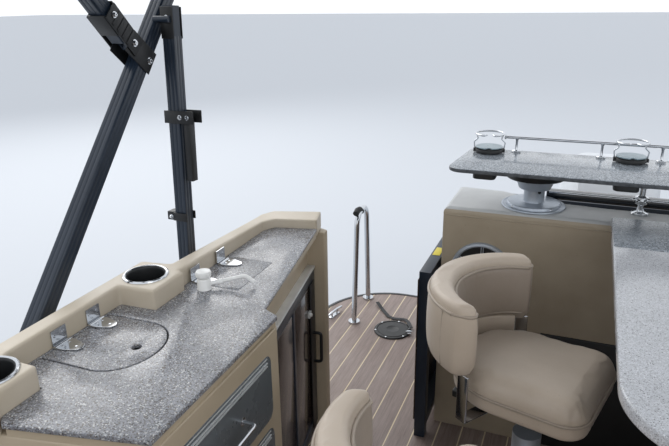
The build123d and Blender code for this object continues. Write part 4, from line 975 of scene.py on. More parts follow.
def addGalley():
    softened("galley_counter", 0.0025, shift=stoneShift)
    softened("galley_lid", 0.0012, shift=lidEase)
    groove = plateMesh("lidGroove", [roundedBox(*galley["groove"])], 1.5, 0.3, at(0, 0, galley["grooveH"]))
    addPiece("lidGroove", groove, "blackRubber", "hull")
    sinkLid = bpy.data.objects["sink_lid"]
    corners = [sinkLid.matrix_world @ Vector(corner) for corner in sinkLid.bound_box]
    middle = sum(corners, Vector()) / 8
    half = max(corner.x for corner in corners) - middle.x, max(corner.y for corner in corners) - middle.y

    def lidGrown(point):
        # the basin lid almost fills its hole, so that only a hairline shows
        gap = 0.0016
        x = middle.x + (point.x - middle.x) * (1 + gap / half[0])
        return Vector((x, middle.y + (point.y - middle.y) * (1 + gap / half[1]), point.z))

    softened("sink_lid", 0.0008, shift=lidGrown)
    mesh = cleanCopy("galley_counter", "counterBed")
    inside = Vector((0.96, -2.2, 0))
    for vert in mesh.vertices:
        flat = Vector((vert.co.x, vert.co.y, 0))
        flat = flat + (inside - flat).normalized() * 0.006
        vert.co = Vector((flat.x, flat.y, min(vert.co.z, deckTop + galley["stoneLow"] / 1000 - 0.0003)))
    # the bed under the stone wears the darker sand: painted shade
    addPiece("counterBed", mesh, "sandShadedSide", "hull", smooth=False)

    x = galley["front"]
    low, high = galley["frameY"]
    windows = []
    for _, _, bottom, top in galley["drawers"]:
        middle = (drawer["y"], (bottom + top) / 2)
        windows.append(roundedBox(drawer["window"], top - bottom + 6, drawer["corner"] + 3, middle))
    border = roundedBox(high - low, 470, 8, ((low + high) / 2, 538))
    # the border round the drawers wears the darker sand: painted shade
    mesh = plateMesh("drawerBorder", [border] + windows, 7.6, 2.2, at(773.9, 0, 0), yAxis, zAxis)
    addPiece("drawerBorder", mesh, "sandShadedSide", "hull")
    for node, body, bottom, top in galley["drawers"]:
        mid = (bottom + top) / 2
        front = roundedBox(drawer["front"], top - bottom, drawer["corner"], (drawer["y"], mid))
        mesh = plateMesh(body + "Front", [front], 8.0, 2.0, at(x + 4, 0, 0), yAxis, zAxis)
        piece = addPiece(body + "Front", mesh, "drawerGloss", nodeBody[node])
        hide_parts(node)
        bm = bmesh.new()
        depth, wide, wall = drawer["tray"]
        floor, tall = bottom + 14, top - bottom - 36
        addBox(bm, at(x + 8 + depth / 2, drawer["y"], floor), (depth, wide, wall))
        addBox(bm, at(x + 8 + depth, drawer["y"], floor + tall / 2), (wall, wide, tall))
        for side in ((wall - wide) / 2, (wide - wall) / 2):
            addBox(bm, at(x + 8 + depth / 2, drawer["y"] + side, floor + tall / 2), (depth, wall, tall))
        built(body + "Tray", bm, "blackPlastic", nodeBody[node], 1.5, 2)
        bm = bmesh.new()
        for line in (15, 23):
            addBox(bm, at(x - 1.0, drawer["y"], top - line), (2.6, 350, 3.0))
        addBox(bm, at(x - 0.2, drawer["y"], top - 4.5), (1.2, 352, 3.0))
        built(body + "Lines", bm, "brightTrim", nodeBody[node], smooth=False)
        bm = bmesh.new()
        aft, fore, reach = galley["pull"]
        h = mid - 6
        corners = [at(x, aft, h), at(x - reach, aft, h), at(x - reach, fore, h), at(x, fore, h)]
        addTube(bm, bentPath(corners, 12), 4.5, 14)
        for y in (aft, fore):
            addLathe(bm, at(x - 1.4, y, h), xAxis, ((0, 0), (9, 0.2), (10, 1.0), (10, 2.0), (0, 2.0)), 20)
        built(body + "Pull", bm, "stainless", nodeBody[node])

    for x, y, near in galley["hinges"]:
        fixed, moving = bmesh.new(), bmesh.new()
        upright = 3.2 if near else 6.5
        addBox(fixed, at(x + upright, y, 820), (2.4, 42, 36))
        addBox(fixed, at(x + upright / 2 + 1.5, y, 803.5), (upright - 1.5, 42, 2.4))
        for side in (-12, 12):
            addLathe(fixed, at(x + upright - 1.2, y + side, 824), (-1, 0, 0), ((4, 0), (3.6, 1.2), (0, 1.8)), 12)
        addLathe(moving, at(x - 3.5, y - 23, 801), yAxis, ((0, 0), (4.6, 0.5), (4.6, 45.5), (0, 46)), 16)
        leaf = [(-3, -23), (-3, 23), (-20, 23), (-54, 12), (-60, 0), (-54, -12), (-20, -23)]
        for side in (-9, 9):
            addLathe(moving, at(x - 14, y + side, 803.2), zAxis, ((4, 0), (3.6, 1.0), (0, 1.6)), 12)
        addLathe(moving, at(x - 42, y, 803.2), zAxis, ((4, 0), (3.6, 1.0), (0, 1.6)), 12)
        leafMesh = plateMesh("leaf", [leaf], 2.4, 0.8, at(x, y, 802))
        name = "hinge%d_%d" % (near, -y)
        body = "bin_lid" if near else "basin_lid"
        built(name + "Fixed", fixed, "stainless", "hull", 0.8, 2)
        addPiece(name + "Leaf", joined(name + "Leaf", [leafMesh], moving), "stainless", body)

    bm, steel = bmesh.new(), bmesh.new()
    liner = ((49, 2.5), (47, 1.0), (45.4, -4), (44.8, -72), (40, -77), (0, -78))
    lip = ((47.5, 0.5), (49.5, 3.2), (53.5, 4.4), (56.5, 3.0), (57.6, 0.0), (54, -0.1), (47.5, -0.1), (47.5, 0.5))
    for x, y in galley["cups"]:
        addLathe(bm, at(x, y, galley["rimTop"]), zAxis, liner, 48, hollow=True)
        addLathe(steel, at(x, y, galley["rimTop"] - 0.8), zAxis, lip, 56)
    built("cupLiners", bm, "blackPlastic", "hull", node="cup_liners")
    built("cupRings", steel, "stainless", "hull")

    bm = bmesh.new()
    x, y = galley["faucet"]
    addLathe(bm, at(x, y, 800.3), zAxis, ((19, 0), (19.5, 1.5), (18, 4), (17.5, 26), (16, 29), (11, 31), (10, 34)), 36)
    addLathe(bm, at(x, y, 834), zAxis, ((11, 0), (18.5, 1), (19.6, 3), (19.6, 13), (18, 16), (12, 17.5), (0, 18)), 36)
    for step in range(24):
        turn = 2 * math.pi * step / 24
        addBox(bm, around(x, y, 19.4, turn, 842), (1.6, 1.8, 9), math.degrees(turn))
    addTube(bm, bentPath([at(*spot) for spot in galley["spout"]], 22), 5.6, 16)
    addLathe(bm, at(986, -2299, 815), (-0.83, -0.56, 0.12), ((7.4, 0), (7.8, 1), (7.8, 9), (7.2, 10)), 20)
    built("faucetBody", bm, "whitePlastic", "hull", node="faucet")

    axes = doorAxes()
    # near-white strips along the aft door's top edge, standing in for the highlight on its top rail: painted highlight
    bm = bmesh.new()
    addBox(bm, doorSpot(211, 1.3, 648.0), (536, 3.0, 5.0), axes=axes)
    addBox(bm, doorSpot(211, -11, 651.6), (538, 27, 2.5), axes=axes)
    built("doorTopHighlight", bm, "brightTrim", "hull", 0.7, 2)
    bm = bmesh.new()
    addBox(bm, doorSpot(392, 3, 512), (24, 8, 18), axes=axes)
    addLathe(bm, doorSpot(390, 6, 512), axes[1], ((6, 0), (6, 5), (4.5, 7), (0, 7.2)), 20)
    built("doorLatch", bm, "brightTrim", "aft_door", 0.7, 2)
    bm = bmesh.new()
    corners = [doorSpot(436, 0, 420), doorSpot(436, 30, 420), doorSpot(436, 30, 308), doorSpot(436, 0, 308)]
    addTube(bm, bentPath(corners, 12), 5.5, 14)
    addBox(bm, doorSpot(436, 1.5, 364), (26, 3, 128), axes=axes)
    addBox(bm, doorSpot(432, 2.0, 330), (56, 3.6, 560), axes=axes)
    built("doorPull", bm, "blackPlastic", "aft_door", 1.0, 2, 50)


# Bar: stone edge, wall seams and cap, speaker, pedestal fittings, fiddle rail and drink rings

bar = {
    "rings": ((447, -3195), (3, -3196)), "ringH": 1064, "ringR": 47, "gap": 22,
    "rail": {"y": -3236, "h": 1047, "radius": 5.0, "ends": (398, -1000), "feet": (361, 90, -88, -480, -900)},
    "speaker": (420, 636), "pedestal": (281, -3117), "stanchion": (-40, -3130),
    "pads": ((425, -3000), (20, -2998)), "topLow": 987, "wallY": -3009.5, "seamH": 822,
    "pocket": (425, 705, 95), "ringHeading": 96,
}
knobRows = (  # radius and height up the stanchion, in millimetres
    (27, 0), (27, 3), (20, 8), (11, 11), (9, 20), (9, 30), (16, 36), (20, 44), (20, 50), (14, 58), (9, 62), (9, 84),
    (26, 90), (28, 94), (26, 97),
)


def addBar():
    topLow = deckTop + bar["topLow"] / 1000
    top = softened("bar_top", 0.003, shift=lambda p: Vector((p.x, p.y, max(p.z, topLow))))
    secondFinish(top, "barEdge", lambda c, n: n.z < 0.5)
    supports = softened("bar_supports", 0.002)
    stanchion = at(*bar["stanchion"], 0)
    secondFinish(supports, "stainless", lambda c, n: (c - stanchion).xy.length < 0.05)
    column = at(*bar["pedestal"], 0)

    def isFlange(centre, normal):
        return 0.05 < (centre - column).xy.length < 0.2 and centre.z > deckTop + 0.951 and normal.z < 0.5

    secondFinish(supports, "blackPlastic", isFlange)
    x, h, reach = bar["pocket"]
    pocket = at(x, 0, h)

    def recessFilled(point):
        # the speaker sits lower than its pocket, which is closed
        inPocket = math.hypot(point.x - pocket.x, point.z - pocket.z) < reach / 1000
        if inPocket and -3.09 < point.y < -3.008:
            return Vector((point.x, -3.010, point.z))
        return point

    wall = softened("bar_wall", 0.016, 4, shift=recessFilled)
    # the wall's upward faces wear the paler vinyl: painted reflection of the sky
    secondFinish(wall, "wallTopSkyReflection", lambda c, n: n.z > 0.6 and c.z > deckTop + 0.83)
    bm = bmesh.new()
    y, h = bar["wallY"], bar["seamH"]
    corners = [at(-1190, y, h), at(556.5, y, h), at(556.5, -3165, h)]
    addTube(bm, bentPath(corners, 16), 2.2, 8)
    for x in (-560, -1100):
        addTube(bm, [at(x, -3009, 60), at(x, -3009, h)], 1.8, 8)
    built("wallSeams", bm, "wallHide", "hull")

    x, h = bar["speaker"]
    steel, cone = bmesh.new(), bmesh.new()
    face = at(x, -3009.6, h)
    addLathe(steel, face, yAxis, ((86, 2), (87, 8), (91, 10), (98, 8), (101, 3), (101, 0), (86, 0), (86, 2)), 64)
    addLathe(steel, face, yAxis, ((20, 4), (19, 9), (12, 11.5), (0, 12.5)), 32)
    for spoke in range(6):
        turn = math.radians(30 + 60 * spoke)
        out = Vector((math.cos(turn), 0, math.sin(turn)))
        side = Vector((-math.sin(turn), 0, math.cos(turn)))
        for shift in (-3.4, 3.4):
            middle = face + out * 0.053 + side * shift / 1000 + Vector((0, 0.0068, 0))
            addBox(steel, middle, (68, 2.4, 3.0), axes=(out, side, yAxis))
    addLathe(cone, face, yAxis, ((88, 1.2), (80, 3.2), (73, 1.6), (44, 0.8), (26, 0.9), (23, 3.0), (0, 5.0)), 56)
    built("speakerCone", cone, "blackPlastic", "hull", node="speaker")
    built("speakerRing", steel, "castAlloy", "hull")

    px, py = bar["pedestal"]
    alloy, black, steel = bmesh.new(), bmesh.new(), bmesh.new()
    flange = ((56, 0), (101, 0), (102.5, 2), (101, 5), (97, 6), (95, 4.2), (56, 4.2), (56, 0))
    addLathe(alloy, at(px, py, 850.4), zAxis, flange, 64)
    addLathe(alloy, at(px, py, 942), zAxis, ((66, 0), (68.5, 1.5), (69.5, 5), (67, 8), (60, 8)), 56)
    for step in range(4):
        turn = math.radians(45 + 90 * step)
        addLathe(steel, around(px, py, 82, turn, 857), zAxis, ((7, 0), (6.6, 2), (4, 3.4), (0, 3.8)), 20)
    addLathe(black, at(px - 18, py + 36.5, 905), (-0.44, 0.9, 0), ((5, 0), (5, 3), (0, 3)), 16)
    addLathe(black, at(px + 14, py + 38, 918), (0.35, 0.93, 0), ((3.5, 0), (3.5, 3), (0, 3)), 16)
    oval = [(172 * math.cos(2 * math.pi * i / 60) / 1.55, 78 * math.sin(2 * math.pi * i / 60)) for i in range(60)]
    plates = [plateMesh("underPlate", [oval], 24, 4, at(px, py, 974.8))]
    for x, y in bar["pads"]:
        plates.append(plateMesh("pad", [roundedBox(62, 90, 12)], 20, 4, at(x, y, 976.8)))
    built("pedestalRims", alloy, "castAlloy", "hull")
    built("pedestalScrews", steel, "stainless", "hull")
    addPiece("barPads", joined("barPads", plates, black), "blackPlastic", "hull")
    bm = bmesh.new()
    sx, sy = bar["stanchion"]
    addLathe(bm, at(sx, sy, 850.5), zAxis, knobRows, 40)
    for step in range(6):
        turn = 2 * math.pi * step / 6
        addLathe(bm, around(sx, sy, 18, turn, 897), towards(turn), ((6, 0), (6, 5), (4, 8), (0, 9)), 14)
    built("stanchionKnob", bm, "stainless", "hull")

    bm, dark, pale = bmesh.new(), bmesh.new(), bmesh.new()
    rail = bar["rail"]
    addTube(bm, [at(x, rail["y"], rail["h"]) for x in rail["ends"]], rail["radius"], 20)
    endCap = ((6.5, -1), (7.6, 0), (7.6, 3), (5, 6), (0, 7))
    for x in rail["ends"]:
        addLathe(bm, at(x, rail["y"], rail["h"]), (math.copysign(1, x), 0, 0), endCap, 20)
    for x in rail["feet"]:
        rows = ((15, 0), (15.5, 1.5), (13, 3.6), (6, 6), (4.4, 10), (4.2, 37), (6.0, 40), (6.4, 44), (0, 47))
        addLathe(bm, at(x, rail["y"], 1000.2), zAxis, rows, 24)
    heading = math.radians(bar["ringHeading"])
    radius, gap = bar["ringR"], bar["gap"]
    for x, y in bar["rings"]:
        path = []
        for step in range(49):
            turn = heading + math.radians(gap + (360 - 2 * gap) * step / 48)
            path.append(around(x, y, radius, turn, bar["ringH"]))
        for end in (0, -1):
            turn = heading + math.radians(gap if end == 0 else -gap)
            inner = around(x, y, radius - 20, turn, bar["ringH"] - 1)
            path = [inner] + path if end == 0 else path + [inner]
        addTube(bm, path, 3.2, 12)
        for side in (-96, 96):
            turn = heading + math.radians(side)
            out = towards(turn)
            top = at(x, y, bar["ringH"]) + out * radius / 1000
            bends = ((0, 0), (-0.009, 0.018), (0.005, 0.030), (0.002, 0.052))  # outwards and down
            corners = [top + out * away - Vector((0, 0, down)) for away, down in bends]
            addTube(bm, bentPath(corners, 8), 2.4, 10)
            addBox(dark, at(x, y, 1007) + out * 0.046, (12, 20, 11), math.degrees(turn))
        disc = []
        for step in range(56):
            turn = 2 * math.pi * step / 56
            away = abs((turn - heading + math.pi) % (2 * math.pi) - math.pi)
            reach = 0.72 if away < 0.16 else 1
            disc.append((44 * math.cos(turn) * reach, 44 * math.sin(turn) * reach))
        pale.from_mesh(plateMesh("ringDisc", [disc], 4, 1, at(x, y, 1019)))
        addLathe(dark, at(x, y, 1000.4), zAxis, ((43, 0), (46, 2), (46.5, 10), (45, 13), (40, 13), (40, 4), (0, 4)), 48)
    built("barRail", bm, "stainless", "hull", node="bar_rail")
    built("ringHolders", dark, "blackPlastic", "hull")
    built("ringDiscs", pale, "greyDisc", "hull")


# Canopy: fluted tubes, jaw clamps and bolts, struts with their short bars, and the cloth

canopy = {
    "x": 1292, "strutX": 1240, "base": (-1869, 650), "lean": 49.65, "pivotAlong": 925, "pivotOff": 58,
    "rise": 47.0, "strutFoot": (-2520, 672), "strutHead": (-2556, 1490), "topH": 2200,
    "rib": (11.0, 0.7, 13.0), "barX": 1203, "bar": (1004, 1186), "saddle": 893,
}


def canopyLines():
    lean = math.radians(canopy["lean"])
    rise = math.radians(canopy["rise"])
    legRun = Vector((0, -math.cos(lean), math.sin(lean)))
    legFoot = at(0, *canopy["base"])
    normal = Vector((0, math.sin(lean), math.cos(lean)))
    pivot = legFoot + legRun * canopy["pivotAlong"] / 1000 + normal * canopy["pivotOff"] / 1000
    auxRun = Vector((0, math.cos(rise), math.sin(rise)))
    foot, head = at(0, *canopy["strutFoot"]), at(0, *canopy["strutHead"])
    return legFoot, legRun, pivot, auxRun, foot, (head - foot).normalized(), (head - foot).length


def fluted(bm, start, run, length, half):
    # raised flutes on the four faces of a straight square tube
    width, proud, pitch = canopy["rib"]
    out = xAxis.cross(run).normalized()
    for face, across in ((xAxis, out), (-xAxis, out), (out, xAxis), (-out, xAxis)):
        for step in (-1, 0, 1):
            middle = start + run * length / 2 + face * (half + proud / 2 - 0.2) / 1000 + across * step * pitch / 1000
            addBox(bm, middle, (length * 1000, width, proud), axes=(run, across, face))


def addBolt(bm, place, axis, head=8.0):
    rows = ((head * 1.25, 0), (head * 1.25, 1.2), (head, 1.4), (head, 5.0), (head * 0.8, 6.2), (0, 6.2))
    addLathe(bm, place, axis, rows, 6)
    addLathe(bm, place, axis, ((head * 1.35, -0.2), (head * 1.35, 1.0), (0, 1.0)), 20)


def addCanopy():
    legFoot, legRun, pivot, auxRun, strutFoot, strutRun, strutLength = canopyLines()
    across = xAxis.cross(legRun).normalized()
    auxAcross = xAxis.cross(auxRun).normalized()
    strutAcross = xAxis.cross(strutRun).normalized()
    bodies = ("canopy", "canopy_front", "canopy_struts")
    flutes, clamps, bolts = ({body: bmesh.new() for body in bodies} for _ in range(3))
    topZ = at(0, 0, canopy["topH"]).z
    for side in (-1, 1):
        x = Vector((side * canopy["x"] / 1000, 0, 0))
        fluted(flutes["canopy"], legFoot + x + legRun * 0.05, legRun, (topZ - legFoot.z) / legRun.z - 0.42, 22)
        fluted(flutes["canopy_front"], pivot + x + auxRun * 0.13, auxRun, (topZ - pivot.z) / auxRun.z - 0.47, 22)
        sx = Vector((side * canopy["strutX"] / 1000, 0, 0))
        fluted(flutes["canopy_struts"], strutFoot + sx + strutRun * 0.06, strutRun, strutLength - 0.14, 18)
        middle = legFoot + legRun * canopy["pivotAlong"] / 1000 + x
        for face in (-1, 1):
            out = Vector((face, 0, 0))
            saddle = middle + across * -0.028 + out * 0.0248
            addBox(clamps["canopy"], saddle, (66, 108, 2.6), axes=(legRun, across, out))
            jawAxes = (auxRun, auxAcross, out)
            addBox(clamps["canopy_front"], pivot + x + auxRun * 0.055 + out * 0.0285, (138, 50, 4.4), axes=jawAxes)
            for rib in range(4):
                spot = pivot + x + auxRun * (0.030 + 0.022 * rib) + out * 0.0316
                addBox(clamps["canopy_front"], spot, (9, 44, 2.4), axes=jawAxes)
            addBolt(bolts["canopy_front"], pivot + x + auxRun * 0.010 + out * 0.0308, out, 7.0)
            addBolt(bolts["canopy_front"], pivot + x + auxRun * 0.108 + out * 0.0322, out, 6.0)
            addBolt(bolts["canopy"], middle + out * 0.0262 + across * 0.009, out, 7.0)
        for lift in (-0.0245, 0.0245):
            spot = pivot + x + auxRun * 0.095 + auxAcross * lift
            addBox(clamps["canopy_front"], spot, (66, 4, 52), axes=(auxRun, auxAcross, xAxis))
        inward = Vector((-side, 0, 0))
        strutAxes = (strutRun, strutAcross, inward)
        footH = canopy["strutFoot"][1]
        # the short bar is on the starboard strut only, because the port one folds down beside the bar wall
        brackets = (  # distance up the strut, length, width, shift inwards, the bolts' places inwards
            (canopy["bar"][1] - footH + 4, 58 * 0.62, 96, 0.018, (0.022, 0.046)),
            (canopy["saddle"] - footH, 40 * 0.62, 48, 0, (-0.030,)),
        )
        for along, tall, wide, shift, boltPlaces in brackets if side > 0 else brackets[1:]:
            spot = strutFoot + sx + strutRun * along / 1000
            for lift in (-0.0215, 0.0215):
                cheek = spot + strutAcross * lift + inward * shift
                addBox(clamps["canopy_struts"], cheek, (tall, 3.5, wide), axes=strutAxes)
            addBox(clamps["canopy_struts"], spot - inward * 0.0215, (tall, 46, 4), axes=strutAxes)
            for reach in boltPlaces:
                for lift in (-1, 1):
                    head = spot + inward * reach + strutAcross * 0.0232 * lift
                    addBolt(bolts["canopy_struts"], head, strutAcross * lift, 5.0)
        addBox(clamps["canopy_struts"], spot - inward * 0.036, (26, 34, 26), axes=strutAxes)
        if side > 0:
            low, high = canopy["bar"]
            middle = strutFoot + sx + inward * (canopy["strutX"] - canopy["barX"]) / 1000
            middle = middle + strutRun * ((low + high) / 2 - footH) / 1000
            addBox(clamps["canopy_struts"], middle, (high - low, 26, 20), axes=strutAxes)
        head = strutFoot + sx + strutRun * (strutLength - 0.045)
        for lift in (-0.0205, 0.0205):
            addBox(clamps["canopy_struts"], head + strutAcross * lift, (84, 3.5, 40), axes=strutAxes)
        for face in (strutAcross, -strutAcross):
            addBolt(bolts["canopy_struts"], head + face * 0.0222 + strutRun * 0.012, face, 6.0)
    for body in flutes:
        built(body + "Flutes", flutes[body], "blackFrame", body, 0.5, 2)
        built(body + "Clamps", clamps[body], "blackPlastic", body, 1.4, 2)
        built(body + "Bolts", bolts[body], "stainless", body)


# Stern: hatch with its screws, and the stern rail

stern = {
    "hatch": (898, -3614, 88), "railTop": ((-1150, -3196), (246, -3212)), "railH": 867,
}


def addStern():
    hx, hy, radius = stern["hatch"]
    bm, steel = bmesh.new(), bmesh.new()
    brim = ((0, 0), (1, 3), (-2, 7), (-11, 8.5), (-13, 6), (-16, 5.5), (-18, 7.5))
    rows = [(radius + out, h) for out, h in brim] + [(30, 9), (28, 7.5), (0, 7.5)]
    addLathe(bm, at(hx, hy, 0.4), zAxis, rows, 64)
    for step in range(6):
        turn = 2 * math.pi * (step + 0.4) / 6
        spot = around(hx, hy, radius - 6, turn, 8)
        addLathe(steel, spot, zAxis, ((4.6, 0), (4.2, 1.2), (2.4, 2.0), (0, 2.2)), 16)
    built("hatchCover", bm, "blackPlastic", "hull", node="round_hatch")
    addBox(steel, at(hx - 84, hy + 12, 13), (16, 30, 4), 20)
    addBox(steel, at(hx - 84, hy + 12, 17), (30, 5, 4), 20)
    built("hatchScrews", steel, "stainless", "hull")

    bm = bmesh.new()
    (x0, y0), (x1, y1) = stern["railTop"]
    section = [(-20, -14), (20, -14), (23, -9), (23, 6), (17, 14), (-17, 14), (-23, 6), (-23, -9)]
    addTube(bm, [at(x0, y0, stern["railH"]), at(x1, y1, stern["railH"])], 0, section=section)
    for x in (x0, -700, -250, x1 - 30):
        addBox(bm, at(x + 14, y0 - 8, 853), (30, 24, 8))
    built("sternRail", bm, "blackGloss", "hull", 2.0, 2)
    # a thin polished steel tube along the rail's top, standing in for the glossy black rail's highlight: painted
    # highlight
    bm = bmesh.new()
    addTube(bm, [at(x0 + 8, y0 + 19, stern["railH"] + 11), at(x1 - 8, y1 + 19, stern["railH"] + 11)], 4.5, 12)
    built("sternRailHighlight", bm, "stainless", "hull", 1.0, 2)


# Other upholstery: lounge pads, sun pad and captain's chair, blown up as cloth and then channelled

loungeChannels = [-1750 + 497 * i for i in range(4)] + [760 + 494 * i for i in range(6)]
padRows = (  # node, piece, voxel, cap, fill, channels as (axis, places in millimetres)
    ("lounge_pads", "loungePads", 13.0, 7.0, 0.95, (("y", loungeChannels),)),
    ("sun_pad", "sunPad", 11.0, 8.0, 0.9, (("x", [-899, -612, -325, -38, 249]),)),
    ("chair_pads", "chairPads", 8.0, 7.0, 0.9, (("x", [665, 905]), ("z", [1390, 1610]))),
)


def channelled(mesh, channels, width=9.0, depth=7.0):
    # sewn channels pressed into a pad along planes
    bm = bmesh.new()
    bm.from_mesh(mesh)
    bm.normal_update()
    moves = []
    for vert in bm.verts:
        push = 0.0
        for axis, places in channels:
            here = vert.co["xyz".index(axis)] * 1000
            normal = abs(vert.normal["xyz".index(axis)])
            for spot in places:
                push = max(push, math.exp(-(((here - spot) / width) ** 2)) * (1 - normal))
        moves.append(vert.normal * push * -depth / 1000)
    for vert, move in zip(bm.verts, moves):
        vert.co += move
    bm.to_mesh(mesh)
    bm.free()
    return mesh


def addPads():
    for node, name, voxel, cap, fill, channels in padRows:
        mesh = cleanCopy(node, name)
        holder = placed(name + "Grid", mesh)
        addGrid(holder, voxel)
        relax = holder.modifiers.new("relax", "SMOOTH")
        relax.iterations = 3
        mesh = baked(holder)
        bpy.data.objects.remove(holder)
        mesh = channelled(swollen(mesh, voxel, cap, 3.5), channels)
        piece = addPiece(name, mesh, "hide", nodeBody[node])
        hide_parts(node)


# Canopy cloth: one sheet over the two bows, on the main bow's body

cloth = {
    "x": 1250, "y": (-3243, -1613), "low": 3023.5, "crest": 44, "bows": (-3183, -1674), "seams": (-830, -280, 280, 830),
    "hollow": 14, "thick": 0.0016, "hem": 1236,
}


def clothHeight(x, y):
    # the sheet sags and ripples between the bows, in millimetres above the keels
    first, last = cloth["y"]
    share = (y - first) / (last - first)
    arch = cloth["crest"] * 4 * share * (1 - share)
    edge = max(0.0, (abs(x) - 1050) / 200)
    pull = 3.0 * math.sin(x / 46) * math.exp(-((min(abs(y - b) for b in cloth["bows"]) / 90) ** 2)) * 0.5
    ripple = 1.6 * math.sin(x / 210 + 1.3 * math.sin(y / 260)) * math.sin(math.pi * share)
    crease = 2.5 * math.exp(-(((abs(x) - 1120 - 40 * math.sin(y / 190)) / 22) ** 2)) * math.sin(math.pi * share)
    return cloth["low"] + arch - 16 * edge ** 2 * math.sin(math.pi * share) + pull + ripple - crease + 4


def addCloth():
    bm = bmesh.new()
    first, last = cloth["y"]
    across, along = 140, 96
    rows = []
    for j in range(along + 1):
        y = first + (last - first) * j / along
        row = []
        for i in range(across + 1):
            x = -cloth["x"] + 2 * cloth["x"] * i / across
            if abs(i - across / 2) > across * 0.49:
                # the side hems curve inwards between the bows
                x -= math.copysign(cloth["hollow"] * (1 - (2 * (y - first) / (last - first) - 1) ** 2), x)
            row.append(bm.verts.new(Vector((x, y, clothHeight(x, y))) / 1000))
        rows.append(row)
    for low, high in zip(rows, rows[1:]):
        for i in range(across):
            bm.faces.new((low[i], low[i + 1], high[i + 1], high[i]))
    sheet = placed("canopyCloth", meshOf(bm, "canopyCloth"))
    thick = sheet.modifiers.new("thickness", "SOLIDIFY")
    thick.thickness = cloth["thick"]
    thick.offset = 0.0
    mesh = baked(sheet)
    bpy.data.objects.remove(sheet)
    piece = addPiece("canopyCloth", mesh, "canvas", "canopy")
    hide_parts("bimini_canvas")
    bm = bmesh.new()
    for x in cloth["seams"]:
        for shift in (-7, 7):
            line = x + shift
            path = [Vector((line, y, clothHeight(line, y) + 1.0)) / 1000 for y in range(first + 12, last - 10, 24)]
            addTube(bm, path, 1.3, 6)
    for y in (first + 6, last - 6, first + 108, last - 108):
        path = [Vector((x, y, clothHeight(x, y) + 0.6)) / 1000 for x in range(-cloth["hem"], cloth["hem"] + 1, 24)]
        addTube(bm, path, 2.6 if y in (first + 6, last - 6) else 1.3, 8)
    seams = built("canopySeams", bm, "strap", "canopy")
    for soft in (piece, seams):
        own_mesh(soft)


# Studs: one tree puts a button on each point, facing as the point says

def studTree(finish):
    tree = bpy.data.node_groups.new("studs", "GeometryNodeTree")
    tree.interface.new_socket("Geometry", in_out="INPUT", socket_type="NodeSocketGeometry")
    tree.interface.new_socket("Radius", in_out="INPUT", socket_type="NodeSocketFloat")
    tree.interface.new_socket("Geometry", in_out="OUTPUT", socket_type="NodeSocketGeometry")
    start = put(tree, "NodeGroupInput")
    facing = put(tree, "GeometryNodeInputNamedAttribute", {0: "facing"}, data_type="FLOAT_VECTOR")
    turn = put(tree, "FunctionNodeAlignRotationToVector", {2: facing.outputs[0]}, axis="Z")
    button = put(tree, "GeometryNodeMeshUVSphere", {0: 12, 1: 8, 2: start.outputs["Radius"]})
    flat = put(tree, "GeometryNodeTransform", {0: button.outputs[0], "Scale": (1, 1, 0.45)})
    spread = put(tree, "GeometryNodeInstanceOnPoints", {0: start.outputs[0], 2: flat.outputs[0], 5: turn.outputs[0]})
    real = put(tree, "GeometryNodeRealizeInstances", {0: spread.outputs[0]})
    coat = put(tree, "GeometryNodeSetMaterial", {0: real.outputs[0], 2: finishes[finish]})
    end = put(tree, "NodeGroupOutput")
    tree.links.new(coat.outputs[0], end.inputs[0])
    return tree


def addStuds(name, rows, radius, finish, body):
    # rows of (place, facing)
    mesh = bpy.data.meshes.new(name)
    mesh.from_pydata([tuple(place) for place, _ in rows], [], [])
    facing = mesh.attributes.new("facing", "FLOAT_VECTOR", "POINT")
    for item, (_, out) in zip(facing.data, rows):
        item.vector = out
    piece = placed(name, mesh)
    tree = studTree(finish)
    spread = piece.modifiers.new("studs", "NODES")
    spread.node_group = tree
    for socket in tree.interface.items_tree:
        if socket.name == "Radius":
            spread[socket.identifier] = radius / 1000
    mesh = baked(piece)
    bpy.data.objects.remove(piece)
    return addPiece(name, mesh, finish, body)


# Fence strips, helm, the cowl's colours, cleat, blank label, strap, handrail cap and a painted shadow strip on the
# table

fittings = {
    "fenceRuns": ((1, -2850, 3190), (-1, -3540, -160), (-1, 670, 3190)),  # side, from, to
    "cleat": (1216, -3660, 80),
    "strap": ((1052, -3850, 14), (1010, -3800, 6), (955, -3735, 5), (925, -3722, 6), (868, -3732, 7), (838, -3690, 12),
              (815, -3640, 17)),
    "cap": ((1110, -3765, 532), (1111, -3740, 548), (1112, -3715, 551), (1112, -3690, 541)),
}


